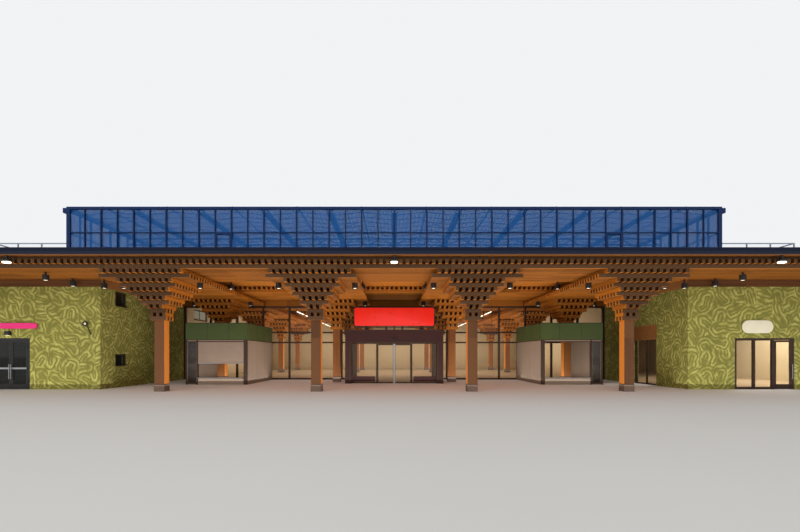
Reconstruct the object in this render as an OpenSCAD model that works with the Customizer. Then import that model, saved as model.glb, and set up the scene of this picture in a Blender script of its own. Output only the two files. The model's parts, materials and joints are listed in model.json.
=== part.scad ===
// Supermarket hall at 1:2: a deep canopy on timber columns with capitals of stacked beams,
// two green wings, a glazed shopfront with an entrance portal, and a greenhouse on the roof.
// X runs along the front, Y from the front to the rear, Z up. The origin is on the ground
// at the middle of the roof.

/* [Timber grid] */
// Spacing of the stacked beams, centre to centre
beam_pitch = 135; // [125:1:150]
// Width of one beam
beam_w = 70; // [50:1:90]
// Height of one beam, which is one layer of the stack
layer_h = 85; // [70:1:100]
// Beam spacings in one bay of the column grid
bay_pitches = 26; // [26:2:30]
// How far a capital's beam ends stand out past the last beam they carry, in spacings
end_reach = 0.35; // [0.3:0.05:0.6]
// Half the number of spacings across a band of long beams
band_half = 6; // [5:1:7]
// Half length of the short beams under the column line bands, in spacings
tie_half = 7.1; // [6.8:0.1:7.6]
// Half length of the short beams over the row bands, in spacings
row_tie_half = 7; // [6.6:0.1:7.2]

/* [Columns] */
// Side of the square timber shaft
shaft_w = 220; // [180:5:280]
// Height at which the shafts end and the capitals begin
capital_z = 1600; // [1600:10:1800]
// Side of the square concrete plinth
plinth_w = 236; // [220:2:300]
// Height of the concrete plinth
plinth_h = 155; // [100:5:200]

/* [Plan] */
// Rows of columns from the front to the rear
rows = 5; // [4:1:6]
// Columns in each row
columns = 4; // [4:2:4]
// Bays across the whole front
width_bays = 7; // [7:2:7]
// How far the roof edge stands ahead of the front columns, in spacings
front_overhang = 8; // [8:1:10]
// How far the roof stands out at the sides and the rear
eave = 270; // [200:10:400]
// How far the wings' front walls stand behind the front columns, in spacings
wing_set = 4; // [3:1:4]
// How far the shopfront stands behind the front columns, in spacings
shopfront_set = 35; // [34:1:36]

/* [Walls and roof] */
// Thickness of the outside walls
wall_t = 150; // [100:5:200]
// Thickness of the floor slab inside
floor_t = 20; // [10:1:30]
// Thickness of the ceiling boards
board_t = 85; // [60:5:100]
// Thickness of the roof deck
deck_t = 105; // [80:5:140]
// Thickness of the roof edge board
fascia_t = 40; // [20:2:60]
// How far the roof edge board hangs below the ceiling boards' top
fascia_drop = 10; // [5:1:20]
// Height of the roof edge board above the deck
fascia_rise = 20; // [10:1:40]

/* [Windows] */
// Width of the small windows in the left return wall and the side walls
window_w = 500; // [300:10:700]
// Height of the upper window
upper_window_h = 385; // [300:5:400]
// Height of the upper window's sill
upper_window_z = 2050; // [1950:10:2050]
// Height of the lower window
lower_window_h = 310; // [200:10:400]
// Height of the lower window's sill
lower_window_z = 535; // [400:5:700]
// Distance of the left return wall's windows behind the wing's front wall
left_window_set = 415; // [300:5:600]
// Width of the window where the left return wall runs on inside the hall
hall_window_w = 1100; // [600:10:1200]
// Distance of the hall window behind the shopfront
hall_window_set = 730; // [400:10:900]
// Thickness of the window panes
pane_t = 12; // [8:1:16]
// Width of the glazed opening in the right return wall
side_opening_w = 1125; // [900:5:1300]
// Height of the glazed opening in the right return wall
side_opening_h = 1560; // [1400:10:1800]
// Distance of the right return wall's opening behind the wing's front wall
side_opening_set = 1125; // [900:5:1300]

/* [Shopfront] */
// Mullions in one bay of the column grid
mullions_per_bay = 4; // [2:1:5]
// Width of a mullion
mullion_w = 50; // [30:2:70]
// Depth of the shopfront frame
mullion_d = 100; // [60:5:140]
// Height of the lower transom's middle
transom_low_z = 1240; // [1100:10:1300]
// Height of the upper transom's middle
transom_high_z = 1575; // [1560:5:1800]

/* [Entrance portal] */
// Outside width of the portal
portal_w = 2815; // [2600:5:3000]
// Outside height of the portal
portal_h = 1550; // [1450:5:1550]
// How far the portal's front stands ahead of the shopfront
portal_d = 2075; // [1800:5:2200]
// Thickness of the portal's sides
portal_side_t = 160; // [100:5:200]
// Thickness of the portal's roof
portal_roof_t = 80; // [60:5:120]
// Height of the doorway's head
door_head_z = 1195; // [1100:5:1250]
// Depth of the portal's head over the doors
portal_head_d = 300; // [240:5:400]
// Width of one sliding leaf
slide_leaf_w = 490; // [400:5:560]
// How far the fixed screen stands behind the portal's front
screen_set = 150; // [120:5:180]
// Thickness of the fixed screen's frame
screen_t = 50; // [40:1:60]
// Thickness of one sliding leaf
slide_leaf_t = 40; // [30:1:50]
// Width of the frame of a door leaf
leaf_frame_w = 35; // [25:1:50]
// Gap between a moving leaf and what is beside it
leaf_gap = 6; // [5:1:8]
// Running gap between a leaf's hinge or runner and its seat
seat_gap = 0.3; // [0.2:0.1:0.5]
// Height of the drive box that the sliding leaves hang from
drive_h = 50; // [40:1:80]
// Travel of each sliding leaf
slide_travel = 470; // [300:5:480]

/* [Portal sign] */
// Width of the plain sign box
sign_w = 2325; // [1800:5:2600]
// Height of the plain sign box
sign_h = 560; // [300:5:600]
// Depth of the plain sign box
sign_d = 90; // [60:5:120]
// Height of the stands under the sign box
sign_stand_h = 90; // [60:5:120]

/* [Kiosks] */
// Distance from the middle of the building to a kiosk's inner side
kiosk_inner_x = 4075; // [3950:5:4200]
// Width of a kiosk
kiosk_w = 1695; // [1650:5:1800]
// How far a kiosk stands ahead of the shopfront
kiosk_d = 2525; // [2400:5:2600]
// Height of the underside of a kiosk's fascia
kiosk_fascia_z = 1235; // [1150:5:1300]
// Height of a kiosk's fascia
kiosk_fascia_h = 470; // [400:5:500]
// Thickness of a kiosk's walls and fascia
kiosk_wall_t = 50; // [30:2:60]
// Width of the post at a kiosk's open front corner
kiosk_post_w = 90; // [60:5:120]
// Width of the glazed bay at a kiosk's outer end
kiosk_bay_w = 340; // [300:10:420]
// Height of the counter under a kiosk's front opening
kiosk_counter_z = 185; // [100:5:300]
// Height of the lower edge of the left kiosk's shutter
shutter_z = 600; // [500:10:900]

/* [Wing doors] */
// Width of the left wing's doorway
left_door_w = 900; // [800:10:1000]
// Height of both wings' doorways
wing_door_h = 1225; // [1150:5:1300]
// Distance from the middle of the building to the middle of the left doorway
left_door_x = 9155; // [9000:5:9300]
// Width of the right wing's glazed unit
right_unit_w = 1420; // [1300:10:1500]
// Distance from the middle of the building to the middle of the right unit
right_unit_x = 8845; // [8700:5:9000]
// Width of the door leaf in the right unit
right_leaf_w = 420; // [380:5:480]
// Width of a door frame's bars
door_frame_w = 45; // [30:1:60]
// Depth of a door frame
door_frame_d = 70; // [50:2:90]
// Thickness of a hinged leaf
hinge_leaf_t = 30; // [24:1:36]
// Radius of a hinge barrel
barrel_r = 7.5; // [5:0.5:10]
// Height of one knuckle of a hinge
knuckle_h = 40; // [30:1:60]
// Height of a leaf's lower hinge, and of the upper one below its top, as a share of the leaf's height
hinge_share = 0.15; // [0.1:0.01:0.25]

/* [Greenhouse] */
// Width of one pane of the greenhouse walls
gh_pane = 500; // [480:5:520]
// Panes across the front
gh_front_panes = 40; // [32:4:40]
// Panes from the front to the rear
gh_side_panes = 24; // [16:4:24]
// Height of the raised deck's walking surface
upper_deck_z = 3600; // [3400:10:3700]
// Thickness of the raised deck and of its skirt
upper_deck_t = 80; // [60:5:120]
// Height of the top of the greenhouse walls
gh_top_z = 5370; // [5200:10:5500]
// Height of the middle rail of the greenhouse walls
gh_rail_z = 4580; // [4400:10:4700]
// Depth of the greenhouse wall frames
gh_frame_d = 60; // [40:2:80]
// Width of a greenhouse mullion
gh_bar_w = 24; // [16:1:30]
// Every second bar of the greenhouse is thicker by this factor
gh_thick_bar = 1.6; // [1:0.1:2]
// Width of a greenhouse corner post
gh_corner_w = 110; // [80:5:140]
// Height of the top rail
gh_head_h = 80; // [60:5:100]
// Panes in one span of the roof, rounded so that whole spans fill the front
gh_span_panes = 4; // [2:1:5]
// Gap between two sheets of the greenhouse's wall glass at a corner
gh_glass_gap = 1; // [0.5:0.5:3]
// Width of a gutter
gutter_w = 180; // [120:5:220]
// Height of a gutter
gutter_h = 90; // [60:5:120]
// Rise of the glass roof from gutter to ridge
ridge_rise = 110; // [80:5:140]
// Spacing of the lattice girders, in panes
girder_panes = 6; // [4:2:8]
// Height of a lattice girder
girder_h = 260; // [200:10:320]
// Width of a lattice girder's bars
girder_bar = 36; // [24:2:50]

/* [Guard rails] */
// Height of the top rail above the raised deck
rail_h = 650; // [500:10:700]
// Distance between rail posts
rail_post_pitch = 1070; // [900:10:1200]
// Thickness of rails and posts
rail_t = 30; // [20:1:40]

/* [Lamps] */
// Diameter of a cylinder spotlight
spot_d = 128; // [100:2:140]
// Length of a cylinder spotlight
spot_h = 125; // [100:5:150]
// Distance of the spotlights from the column lines, in spacings
spot_reach = 6.4; // [6:0.1:6.6]
// Distance of the spotlights over the wings' fronts from the recess
wing_spot_set = 555; // [300:5:800]
// Distance of those spotlights from the front row, in pitches
wing_spot_pitches = 3; // [2:0.5:5]
// Length of the stem of the spotlights near the wings
spot_stem = 55; // [20:5:80]
// Length of the stem of the spotlights in the middle of the bays
bay_spot_stem = 90; // [60:5:110]
// Distance of the innermost of the spotlights near the wings from the recess's side
inner_spot_set = 180; // [120:10:300]
// Length of that spotlight's stem
inner_spot_stem = 105; // [60:5:140]
// Width of a floodlight at the roof edge
flood_w = 150; // [100:5:200]
// Length of a floodlight's bracket
flood_drop = 110; // [60:5:160]
// Distance from a floodlight's middle to the roof's front edge
flood_set = 75; // [70:1:80]
// Distance between the floodlights, in bays
flood_bays = 2.25; // [2:0.05:2.5]

/* [Hidden] */

timber = "peru";
lit_timber = "sandybrown";
green_wall = "yellowgreen";
dark_metal = "#2b2622";
blue_steel = "#4a5a72";

bay = bay_pitches * beam_pitch;
half_width = width_bays * bay / 2;
recess_x = 2 * bay;

// Heights of the layers: layer 1 is the lowest of a capital
capital_layers = 10;
function layer_z(n) = capital_z + (n - 1) * layer_h;
tie_z = layer_z(capital_layers + 1);
line_beam_z = layer_z(capital_layers + 2);
row_beam_z = layer_z(capital_layers + 3);
row_tie_z = layer_z(capital_layers + 4);
board_z = layer_z(capital_layers + 5);
deck_z = board_z + board_t;
deck_top_z = deck_z + deck_t;
wall_top_z = tie_z;

// Plan lines, from the roof's front edge to its rear edge
roof_depth = front_overhang * beam_pitch + (rows - 0.5) * bay + eave;
roof_front_y = -roof_depth / 2;
roof_rear_y = roof_depth / 2;
roof_half_w = half_width + eave;
front_axis_y = roof_front_y + front_overhang * beam_pitch;
rear_wall_y = roof_rear_y - eave;
wing_y = front_axis_y + wing_set * beam_pitch;
shopfront_y = front_axis_y + shopfront_set * beam_pitch;
portal_y = shopfront_y - portal_d;
portal_inner = portal_w / 2 - portal_side_t;
kiosk_y = shopfront_y - kiosk_d;
inner_half_w = half_width - wall_t;
inner_rear_y = rear_wall_y - wall_t;
function row_y(r) = front_axis_y + r * bay;
function line_x(c) = (c - (columns - 1) / 2) * bay;

// A box from its lowest corner to its highest
module block(low, high) {
    translate(low) cube(high - low);
}

// A box given by its middle in plan, its size in plan and its bottom and top
module post(x, y, w, d, z0, z1) {
    translate([x - w / 2, y - d / 2, z0]) cube([w, d, z1 - z0]);
}

// A drawing in X and Z given a depth along Y, from y towards the rear
module upright(y, depth) {
    translate([0, y + depth, 0]) rotate([90, 0, 0]) linear_extrude(depth) children();
}

// A drawing in Y and Z given a thickness along X, from x towards +X
module sideways(x, depth) {
    translate([x, 0, 0]) rotate([90, 0, 90]) linear_extrude(depth) children();
}

// A rectangle from its lowest corner to its highest
module pane(low, high) {
    translate(low) square(high - low);
}

// What is drawn for the left half, turned into its mirror image
module mirrored() {
    mirror([1, 0, 0]) children();
}

// Floor slabs of the hall with its entrance and of the two wings
module ground_floor() {
    hall_front_y = shopfront_y + mullion_d + pane_t;
    color("lightgray")
        linear_extrude(floor_t) {
            pane([-recess_x, hall_front_y], [recess_x, inner_rear_y]);
            pane([-portal_inner, portal_y + portal_head_d], [portal_inner, hall_front_y]);
            for (side = [0, 1])
                mirror([side, 0])
                    pane([-inner_half_w, wing_y + wall_t], [-recess_x - wall_t, inner_rear_y]);
        }
}

// Plinths on the ground under the canopy and on the floor slab in the hall
module column_plinths() {
    color("gainsboro")
        for (r = [0 : rows - 1], c = [0 : columns - 1])
            post(line_x(c), row_y(r), plinth_w, plinth_w, r < 2 ? 0 : floor_t, plinth_h);
}

module column_row(r) {
    for (c = [0 : columns - 1])
        post(line_x(c), row_y(r), shaft_w, shaft_w, plinth_h, capital_z);
}

module front_columns() {
    color(timber) column_row(0);
}

module inner_columns() {
    color(timber)
        for (r = [1 : rows - 1])
            column_row(r);
}

// How many spacings the beams of a pair of layers reach from the middle of the capital
function pair_reach(pair) = max(1, pair - 1);

// A capital: pairs of layers, beams along X below and beams along Y above, fused where they cross.
// The beams along Y reach on to carry the outermost beam of the next pair. A thinned capital has
// only the outer and middle beams of each layer.
module capital(x, y, thinned = false) {
    for (pair = [1 : capital_layers / 2]) {
        reach = pair_reach(pair);
        length = 2 * (reach + end_reach) * beam_pitch;
        cross_length = 2 * (pair_reach(pair + 1) + end_reach) * beam_pitch;
        for (i = [-reach : thinned ? reach : 1 : reach]) {
            post(x, y + i * beam_pitch, length, beam_w, layer_z(2 * pair - 1), layer_z(2 * pair));
            post(x + i * beam_pitch, y, beam_w, cross_length, layer_z(2 * pair),
                 layer_z(2 * pair + 1));
        }
    }
}

module front_capital(c) {
    color(timber) capital(line_x(c - 1), row_y(0));
}

module second_capital(c) {
    color(lit_timber) capital(line_x(c - 1), row_y(1));
}

module hall_capitals() {
    color(lit_timber)
        for (r = [2 : rows - 1], c = [0 : columns - 1])
            capital(line_x(c), row_y(r), thinned = true);
}

// Short beams across each column line, from the front to the shopfront
module line_ties() {
    color(lit_timber)
        for (c = [0 : columns - 1], i = [-band_half + 1 : shopfront_set - 1])
            post(line_x(c), front_axis_y + i * beam_pitch, 2 * tie_half * beam_pitch, beam_w,
                 tie_z, line_beam_z);
}

// Long beams along each column line, over the short ones
module line_beams() {
    color(lit_timber)
        for (c = [0 : columns - 1], i = [-band_half : band_half])
            block([line_x(c) + i * beam_pitch - beam_w / 2,
                   front_axis_y - (band_half + end_reach) * beam_pitch, line_beam_z],
                  [line_x(c) + i * beam_pitch + beam_w / 2, inner_rear_y, row_beam_z]);
}

// Long beams along each row of columns: the front row's run on over the wings, the others end
// at the return walls
module row_beams() {
    color(lit_timber)
        for (r = [0 : rows - 1], i = [-band_half : band_half]) {
            half = r == 0 ? half_width : recess_x;
            post(0, row_y(r) + i * beam_pitch, 2 * half, beam_w, row_beam_z, row_tie_z);
        }
}

// Short beams across the front row's long beams, along the whole front, and across the second
// row's within the recess
module row_ties() {
    length = 2 * row_tie_half * beam_pitch;
    front_count = floor((half_width - beam_w / 2) / beam_pitch);
    recess_count = floor((recess_x - beam_w / 2) / beam_pitch);
    color(timber) {
        for (i = [-front_count : front_count])
            post(i * beam_pitch, row_y(0), beam_w, length, row_tie_z, board_z);
        for (i = [-recess_count : recess_count])
            post(i * beam_pitch, row_y(1), beam_w, length, row_tie_z, board_z);
    }
}

ceiling_front_y = front_axis_y - (band_half + end_reach) * beam_pitch;

module ceiling_boards() {
    color(lit_timber)
        block([-half_width, ceiling_front_y, board_z], [half_width, rear_wall_y, deck_z]);
}

module roof_deck() {
    color("dimgray")
        block([-roof_half_w + fascia_t, roof_front_y + fascia_t, deck_z],
              [roof_half_w - fascia_t, roof_rear_y - fascia_t, deck_top_z]);
}

module roof_fascia() {
    color("#1d2a44")
        translate([0, 0, deck_z - fascia_drop])
            linear_extrude(fascia_drop + deck_t + fascia_rise)
                difference() {
                    pane([-roof_half_w, roof_front_y], [roof_half_w, roof_rear_y]);
                    pane([-roof_half_w + fascia_t, roof_front_y + fascia_t],
                         [roof_half_w - fascia_t, roof_rear_y - fascia_t]);
                }
}

// Edges of the doorways, as distances from the middle of the building
left_door_x0 = left_door_x - left_door_w / 2;
left_door_x1 = left_door_x + left_door_w / 2;
right_unit_x0 = right_unit_x - right_unit_w / 2;
right_unit_x1 = right_unit_x + right_unit_w / 2;

module wing_front(x0, x1, z0) {
    block([x0, wing_y, z0], [x1, wing_y + wall_t, wall_top_z]);
}

module left_front_wall_inner() {
    color(green_wall) wing_front(-left_door_x0, -recess_x, 0);
}

module left_front_wall_outer() {
    color(green_wall) wing_front(-half_width, -left_door_x1, 0);
}

module left_door_lintel() {
    color(green_wall) wing_front(-left_door_x1, -left_door_x0, wing_door_h);
}

module right_front_wall_inner() {
    color(green_wall) wing_front(recess_x, right_unit_x0, 0);
}

module right_front_wall_outer() {
    color(green_wall) wing_front(right_unit_x1, half_width, 0);
}

module right_door_lintel() {
    color(green_wall) wing_front(right_unit_x0, right_unit_x1, wing_door_h);
}

// Outline of a wall from front to rear behind a wing's front wall, cut in two steps where the
// front row's long beams and their short ties pass over it
module long_wall_outline() {
    band_clear = (band_half + end_reach) * beam_pitch;
    tie_clear = row_tie_half * beam_pitch;
    difference() {
        pane([wing_y + wall_t, 0], [inner_rear_y, board_z]);
        pane([row_y(0) - band_clear, row_beam_z], [row_y(0) + band_clear, board_z + 1]);
        pane([row_y(0) - tie_clear, row_tie_z], [row_y(0) + tie_clear, board_z + 1]);
    }
}

// Windows of the left return wall: two in the recess, one above the other, and one in the hall
left_window_y = wing_y + wall_t + left_window_set;
hall_window_y = shopfront_y + hall_window_set;
module left_return_windows() {
    pane([left_window_y, upper_window_z],
         [left_window_y + window_w, upper_window_z + upper_window_h]);
    pane([left_window_y, lower_window_z],
         [left_window_y + window_w, lower_window_z + lower_window_h]);
    pane([hall_window_y, upper_window_z],
         [hall_window_y + hall_window_w, upper_window_z + upper_window_h]);
}

module left_return_wall() {
    color(green_wall)
        sideways(-recess_x - wall_t, wall_t)
            difference() {
                long_wall_outline();
                left_return_windows();
            }
}

right_opening_y = wing_y + wall_t + side_opening_set;

module right_return_wall() {
    color(green_wall)
        sideways(recess_x, wall_t)
            difference() {
                long_wall_outline();
                pane([right_opening_y, -1], [right_opening_y + side_opening_w, side_opening_h]);
            }
}

// The side walls' upper windows, one in each bay behind the front row
module side_outline() {
    difference() {
        long_wall_outline();
        for (r = [1 : rows - 1])
            side_window(r);
    }
}

module side_window(r) {
    middle = row_y(r) - bay / 2 + window_w;
    pane([middle - window_w / 2, upper_window_z],
         [middle + window_w / 2, upper_window_z + upper_window_h]);
}

module left_side_wall() {
    color(green_wall) sideways(-half_width, wall_t) side_outline();
}

module right_side_wall() {
    color(green_wall) sideways(inner_half_w, wall_t) side_outline();
}

module rear_window(c) {
    pane([line_x(c) - window_w / 2, upper_window_z],
         [line_x(c) + window_w / 2, upper_window_z + upper_window_h]);
}

module rear_wall() {
    color(green_wall)
        upright(inner_rear_y, wall_t)
            difference() {
                pane([-half_width, 0], [half_width, board_z]);
                for (c = [0 : columns - 1])
                    rear_window(c);
            }
}

// Timber over the wings' front walls, under the long beams of the front row
module wall_head_beams() {
    color(timber)
        for (side = [0, 1])
            mirror([side, 0, 0])
                block([-half_width, wing_y, wall_top_z], [-recess_x, wing_y + wall_t, row_beam_z]);
}

// Panes in the middle of the walls' thickness
module window_glass() {
    mid = (wall_t - pane_t) / 2;
    color("lightblue") {
        sideways(-recess_x - wall_t + mid, pane_t)
            left_return_windows();
        sideways(recess_x + mid, pane_t)
            pane([right_opening_y, 0], [right_opening_y + side_opening_w, side_opening_h]);
        for (x = [-half_width + mid, inner_half_w + mid])
            sideways(x, pane_t)
                for (r = [1 : rows - 1])
                    side_window(r);
        upright(inner_rear_y + mid, pane_t)
            for (c = [0 : columns - 1])
                rear_window(c);
    }
}

// Boards between the shopfront and the ceiling, cut round the bands along the column lines
module shopfront_header() {
    color(timber)
        upright(shopfront_y, mullion_d)
            difference() {
                pane([-recess_x, tie_z], [recess_x, board_z]);
                for (c = [0 : columns - 1])
                    pane([line_x(c) - tie_half * beam_pitch, tie_z - 1],
                         [line_x(c) + tie_half * beam_pitch, row_beam_z]);
            }
}

mullion_pitch = bay / mullions_per_bay;

// The shopfront's bars, drawn as an outline and extruded
module shopfront_frame() {
    last = floor(recess_x / mullion_pitch) - 1;
    color(dark_metal)
        upright(shopfront_y, mullion_d)
            difference() {
                union() {
                    for (i = [-last : last])
                        pane([i * mullion_pitch - mullion_w / 2, 0],
                             [i * mullion_pitch + mullion_w / 2, tie_z]);
                    for (z = [mullion_w / 2, transom_low_z, transom_high_z, tie_z - mullion_w / 2])
                        pane([-recess_x, z - mullion_w / 2], [recess_x, z + mullion_w / 2]);
                    for (x = [-recess_x, recess_x - mullion_w])
                        pane([x, 0], [x + mullion_w, tie_z]);
                }
                pane([-portal_w / 2, -1], [portal_w / 2, portal_h]);
            }
}

module shopfront_glass() {
    color("lightblue")
        upright(shopfront_y + mullion_d, pane_t)
            difference() {
                pane([-recess_x, 0], [recess_x, tie_z]);
                pane([-portal_w / 2, -1], [portal_w / 2, portal_h]);
            }
}

// Sides, roof and front head of the portal
module entrance_portal() {
    color(dark_metal)
        difference() {
            block([-portal_w / 2, portal_y, 0], [portal_w / 2, shopfront_y, portal_h]);
            block([-portal_inner, portal_y - 1, -1], [portal_inner, shopfront_y + 1, door_head_z]);
            block([-portal_inner, portal_y + portal_head_d, -1],
                  [portal_inner, shopfront_y + 1, portal_h - portal_roof_t]);
        }
}

// The fixed screen stands behind the sliding leaves, which hang from the drive box
screen_y = portal_y + screen_set;
slide_y = screen_y - slide_leaf_t - leaf_gap;
leaf_head_z = door_head_z - drive_h;

// Fixed side lights: a frame on each side of the doorway, a head over both, and the drive box
// ahead of the head, as long as the two leaves reach when they are open
module entrance_screen() {
    drive_half = slide_leaf_w + slide_travel + leaf_gap;
    color(dark_metal) {
        upright(screen_y, screen_t)
            difference() {
                pane([-portal_inner, 0], [portal_inner, door_head_z]);
                pane([-slide_leaf_w, -1], [slide_leaf_w, leaf_head_z]);
                for (side = [0, 1])
                    mirror([side, 0])
                        pane([slide_leaf_w + leaf_frame_w, leaf_frame_w],
                             [portal_inner - leaf_frame_w, leaf_head_z]);
            }
        block([-drive_half, slide_y - leaf_gap, leaf_head_z], [drive_half, screen_y, door_head_z]);
    }
}

module entrance_glass() {
    color("lightblue")
        upright(screen_y + screen_t, pane_t)
            for (side = [0, 1])
                mirror([side, 0])
                    pane([slide_leaf_w, 0], [portal_inner, door_head_z]);
}

// A glazed leaf drawn from the origin to +X: a frame with a thin pane fused into it
module glazed_leaf(w, t, z0, z1) {
    difference() {
        block([0, 0, z0], [w, t, z1]);
        for (y = [-1, (t + pane_t) / 2])
            block([leaf_frame_w, y, z0 + leaf_frame_w],
                  [w - leaf_frame_w, y + (t - pane_t) / 2 + 1, z1 - leaf_frame_w]);
    }
}

// A sliding leaf with its runner, which hangs just under the drive box
module sliding_leaf() {
    top_z = leaf_head_z - leaf_gap;
    translate([leaf_gap / 2, slide_y, 0]) {
        glazed_leaf(slide_leaf_w, slide_leaf_t, leaf_gap, top_z);
        block([leaf_frame_w, slide_leaf_t / 4, top_z],
              [slide_leaf_w - leaf_frame_w, slide_leaf_t * 3 / 4, leaf_head_z - seat_gap]);
    }
}

module sliding_door_left() {
    color(dark_metal) mirrored() sliding_leaf();
}

module sliding_door_right() {
    color(dark_metal) sliding_leaf();
}

// Places of the sign's stands on each side of the middle, as shares of the sign's half width
sign_stands = [0.2, 0.7];

// A plain sign box on four stands on the portal's roof
module portal_sign() {
    color("red") {
        block([-sign_w / 2, portal_y, portal_h + sign_stand_h],
              [sign_w / 2, portal_y + sign_d, portal_h + sign_stand_h + sign_h]);
        for (side = [-1, 1], step = sign_stands)
            post(side * step * sign_w / 2, portal_y + sign_d / 2, sign_d, sign_d,
                 portal_h, portal_h + sign_stand_h);
    }
}

kiosk_outer_x = kiosk_inner_x + kiosk_w;
kiosk_roof_z = kiosk_fascia_z + kiosk_fascia_h / 2;

// The right kiosk's walls: the front has an opening over a counter, which a shutter closes down
// to shutter_z where there is one, and a bay for a narrow window at the outer end
module kiosk_walls(with_shutter = false) {
    bay_x = kiosk_outer_x - kiosk_bay_w;
    head_z = kiosk_fascia_z - kiosk_wall_t;
    color("burlywood")
        difference() {
            block([kiosk_inner_x, kiosk_y, 0], [kiosk_outer_x, shopfront_y, kiosk_fascia_z]);
            block([kiosk_inner_x + kiosk_wall_t, kiosk_y + kiosk_wall_t, -1],
                  [kiosk_outer_x - kiosk_wall_t, shopfront_y + 1, kiosk_fascia_z + 1]);
            block([kiosk_inner_x + kiosk_post_w, kiosk_y - 1, kiosk_counter_z],
                  [bay_x, kiosk_y + kiosk_wall_t + 1, with_shutter ? shutter_z : head_z]);
            block([bay_x + kiosk_wall_t, kiosk_y - 1, kiosk_wall_t],
                  [kiosk_outer_x - kiosk_wall_t, kiosk_y + kiosk_wall_t + 1, head_z]);
        }
}

// The right kiosk's fascia ring with the roof panel inside it, cut round the column
module kiosk_fascia() {
    column_x = line_x(columns - 1);
    color("darkgreen")
        difference() {
            block([kiosk_inner_x, kiosk_y, kiosk_fascia_z],
                  [kiosk_outer_x, shopfront_y, kiosk_fascia_z + kiosk_fascia_h]);
            block([kiosk_inner_x + kiosk_wall_t, kiosk_y + kiosk_wall_t, kiosk_fascia_z - 1],
                  [kiosk_outer_x - kiosk_wall_t, shopfront_y + 1, kiosk_roof_z]);
            block([kiosk_inner_x + kiosk_wall_t, kiosk_y + kiosk_wall_t, kiosk_roof_z + kiosk_wall_t],
                  [kiosk_outer_x - kiosk_wall_t, shopfront_y + 1, kiosk_fascia_z + kiosk_fascia_h + 1]);
            post(column_x, row_y(1), shaft_w, shaft_w, kiosk_roof_z - 1, kiosk_roof_z + kiosk_wall_t + 1);
        }
}

module right_kiosk_walls() {
    kiosk_walls();
}

module left_kiosk_walls() {
    mirrored() kiosk_walls(with_shutter = true);
}

module right_kiosk_fascia() {
    kiosk_fascia();
}

module left_kiosk_fascia() {
    mirrored() kiosk_fascia();
}

left_leaf_w = left_door_w / 2 - door_frame_w - 1.5 * leaf_gap;
leaf_top_z = wing_door_h - door_frame_w - leaf_gap;
hinge_zs = [leaf_top_z * hinge_share, leaf_top_z * (1 - hinge_share)];
barrel_y = wing_y - barrel_r - seat_gap;

// A knuckle on the hinge line at x, with a lug from x0 to x1 on the face of what carries it
module knuckle(x, x0, x1, z) {
    translate([x, barrel_y, z]) cylinder(r = barrel_r, h = knuckle_h, $fn = 32);
    block([x0, barrel_y, z], [x1, wing_y, z + knuckle_h]);
}

// The frame's two knuckles of each hinge; side is the jamb's side, -1 for a jamb towards -X
module jamb_knuckles(x, side) {
    lug = [x, x + side * (leaf_gap + door_frame_w / 2)];
    for (z = hinge_zs, step = [-1, 1])
        knuckle(x, min(lug), max(lug), z + step * (knuckle_h + seat_gap));
}

// A hinged leaf drawn from its hinge line towards +X, with its knuckles
module hinged_leaf(w) {
    glazed_leaf(w, hinge_leaf_t, leaf_gap, leaf_top_z);
    translate([0, -wing_y, 0])
        for (z = hinge_zs)
            knuckle(0, 0, leaf_frame_w / 2, z);
}

// A door frame round the left doorway, open at the threshold
module left_door_frame() {
    x0 = -left_door_x1;
    x1 = -left_door_x0;
    color(dark_metal) {
        upright(wing_y, door_frame_d)
            difference() {
                pane([x0, 0], [x1, wing_door_h]);
                pane([x0 + door_frame_w, -1], [x1 - door_frame_w, wing_door_h - door_frame_w]);
            }
        jamb_knuckles(x0 + door_frame_w + leaf_gap, -1);
        jamb_knuckles(x1 - door_frame_w - leaf_gap, 1);
    }
}

// The leaf hung on the left jamb, and the other one, hung on the right jamb
module left_door_leaf_1() {
    color(dark_metal)
        translate([-left_door_x1 + door_frame_w + leaf_gap, wing_y, 0])
            hinged_leaf(left_leaf_w);
}

module left_door_leaf_2() {
    color(dark_metal)
        translate([-left_door_x0 - door_frame_w - leaf_gap, wing_y, 0])
            mirrored()
                hinged_leaf(left_leaf_w);
}

right_post_x = right_unit_x1 - door_frame_w - right_leaf_w - 2 * leaf_gap;

// The right unit: a frame with two fixed panes and the doorway beside them
module right_door_frame() {
    pane_x0 = right_unit_x0 + door_frame_w;
    pane_x1 = right_post_x - door_frame_w;
    mid_x = (pane_x0 + pane_x1) / 2;
    color(dark_metal) {
        upright(wing_y, door_frame_d)
            difference() {
                pane([right_unit_x0, 0], [right_unit_x1, wing_door_h]);
                pane([right_post_x, -1], [right_unit_x1 - door_frame_w, wing_door_h - door_frame_w]);
                pane([pane_x0, door_frame_w], [mid_x - door_frame_w / 2, wing_door_h - door_frame_w]);
                pane([mid_x + door_frame_w / 2, door_frame_w], [pane_x1, wing_door_h - door_frame_w]);
            }
        upright(wing_y + (door_frame_d - pane_t) / 2, pane_t)
            pane([pane_x0 - 1, door_frame_w - 1], [pane_x1 + 1, wing_door_h - door_frame_w + 1]);
        jamb_knuckles(right_post_x + leaf_gap, -1);
    }
}

// The leaf hung on the post beside the panes
module right_door_leaf() {
    color(dark_metal)
        translate([right_post_x + leaf_gap, wing_y, 0])
            hinged_leaf(right_leaf_w);
}

// Outline of the greenhouse and of the raised deck under it
gh_half_w = gh_front_panes * gh_pane / 2 + gh_corner_w / 2;
gh_front_y = row_y(1);
gh_depth = gh_side_panes * gh_pane + gh_corner_w;
gh_rear_y = gh_front_y + gh_depth;
upper_deck_front_y = gh_front_y - 2 * rail_t;

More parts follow.
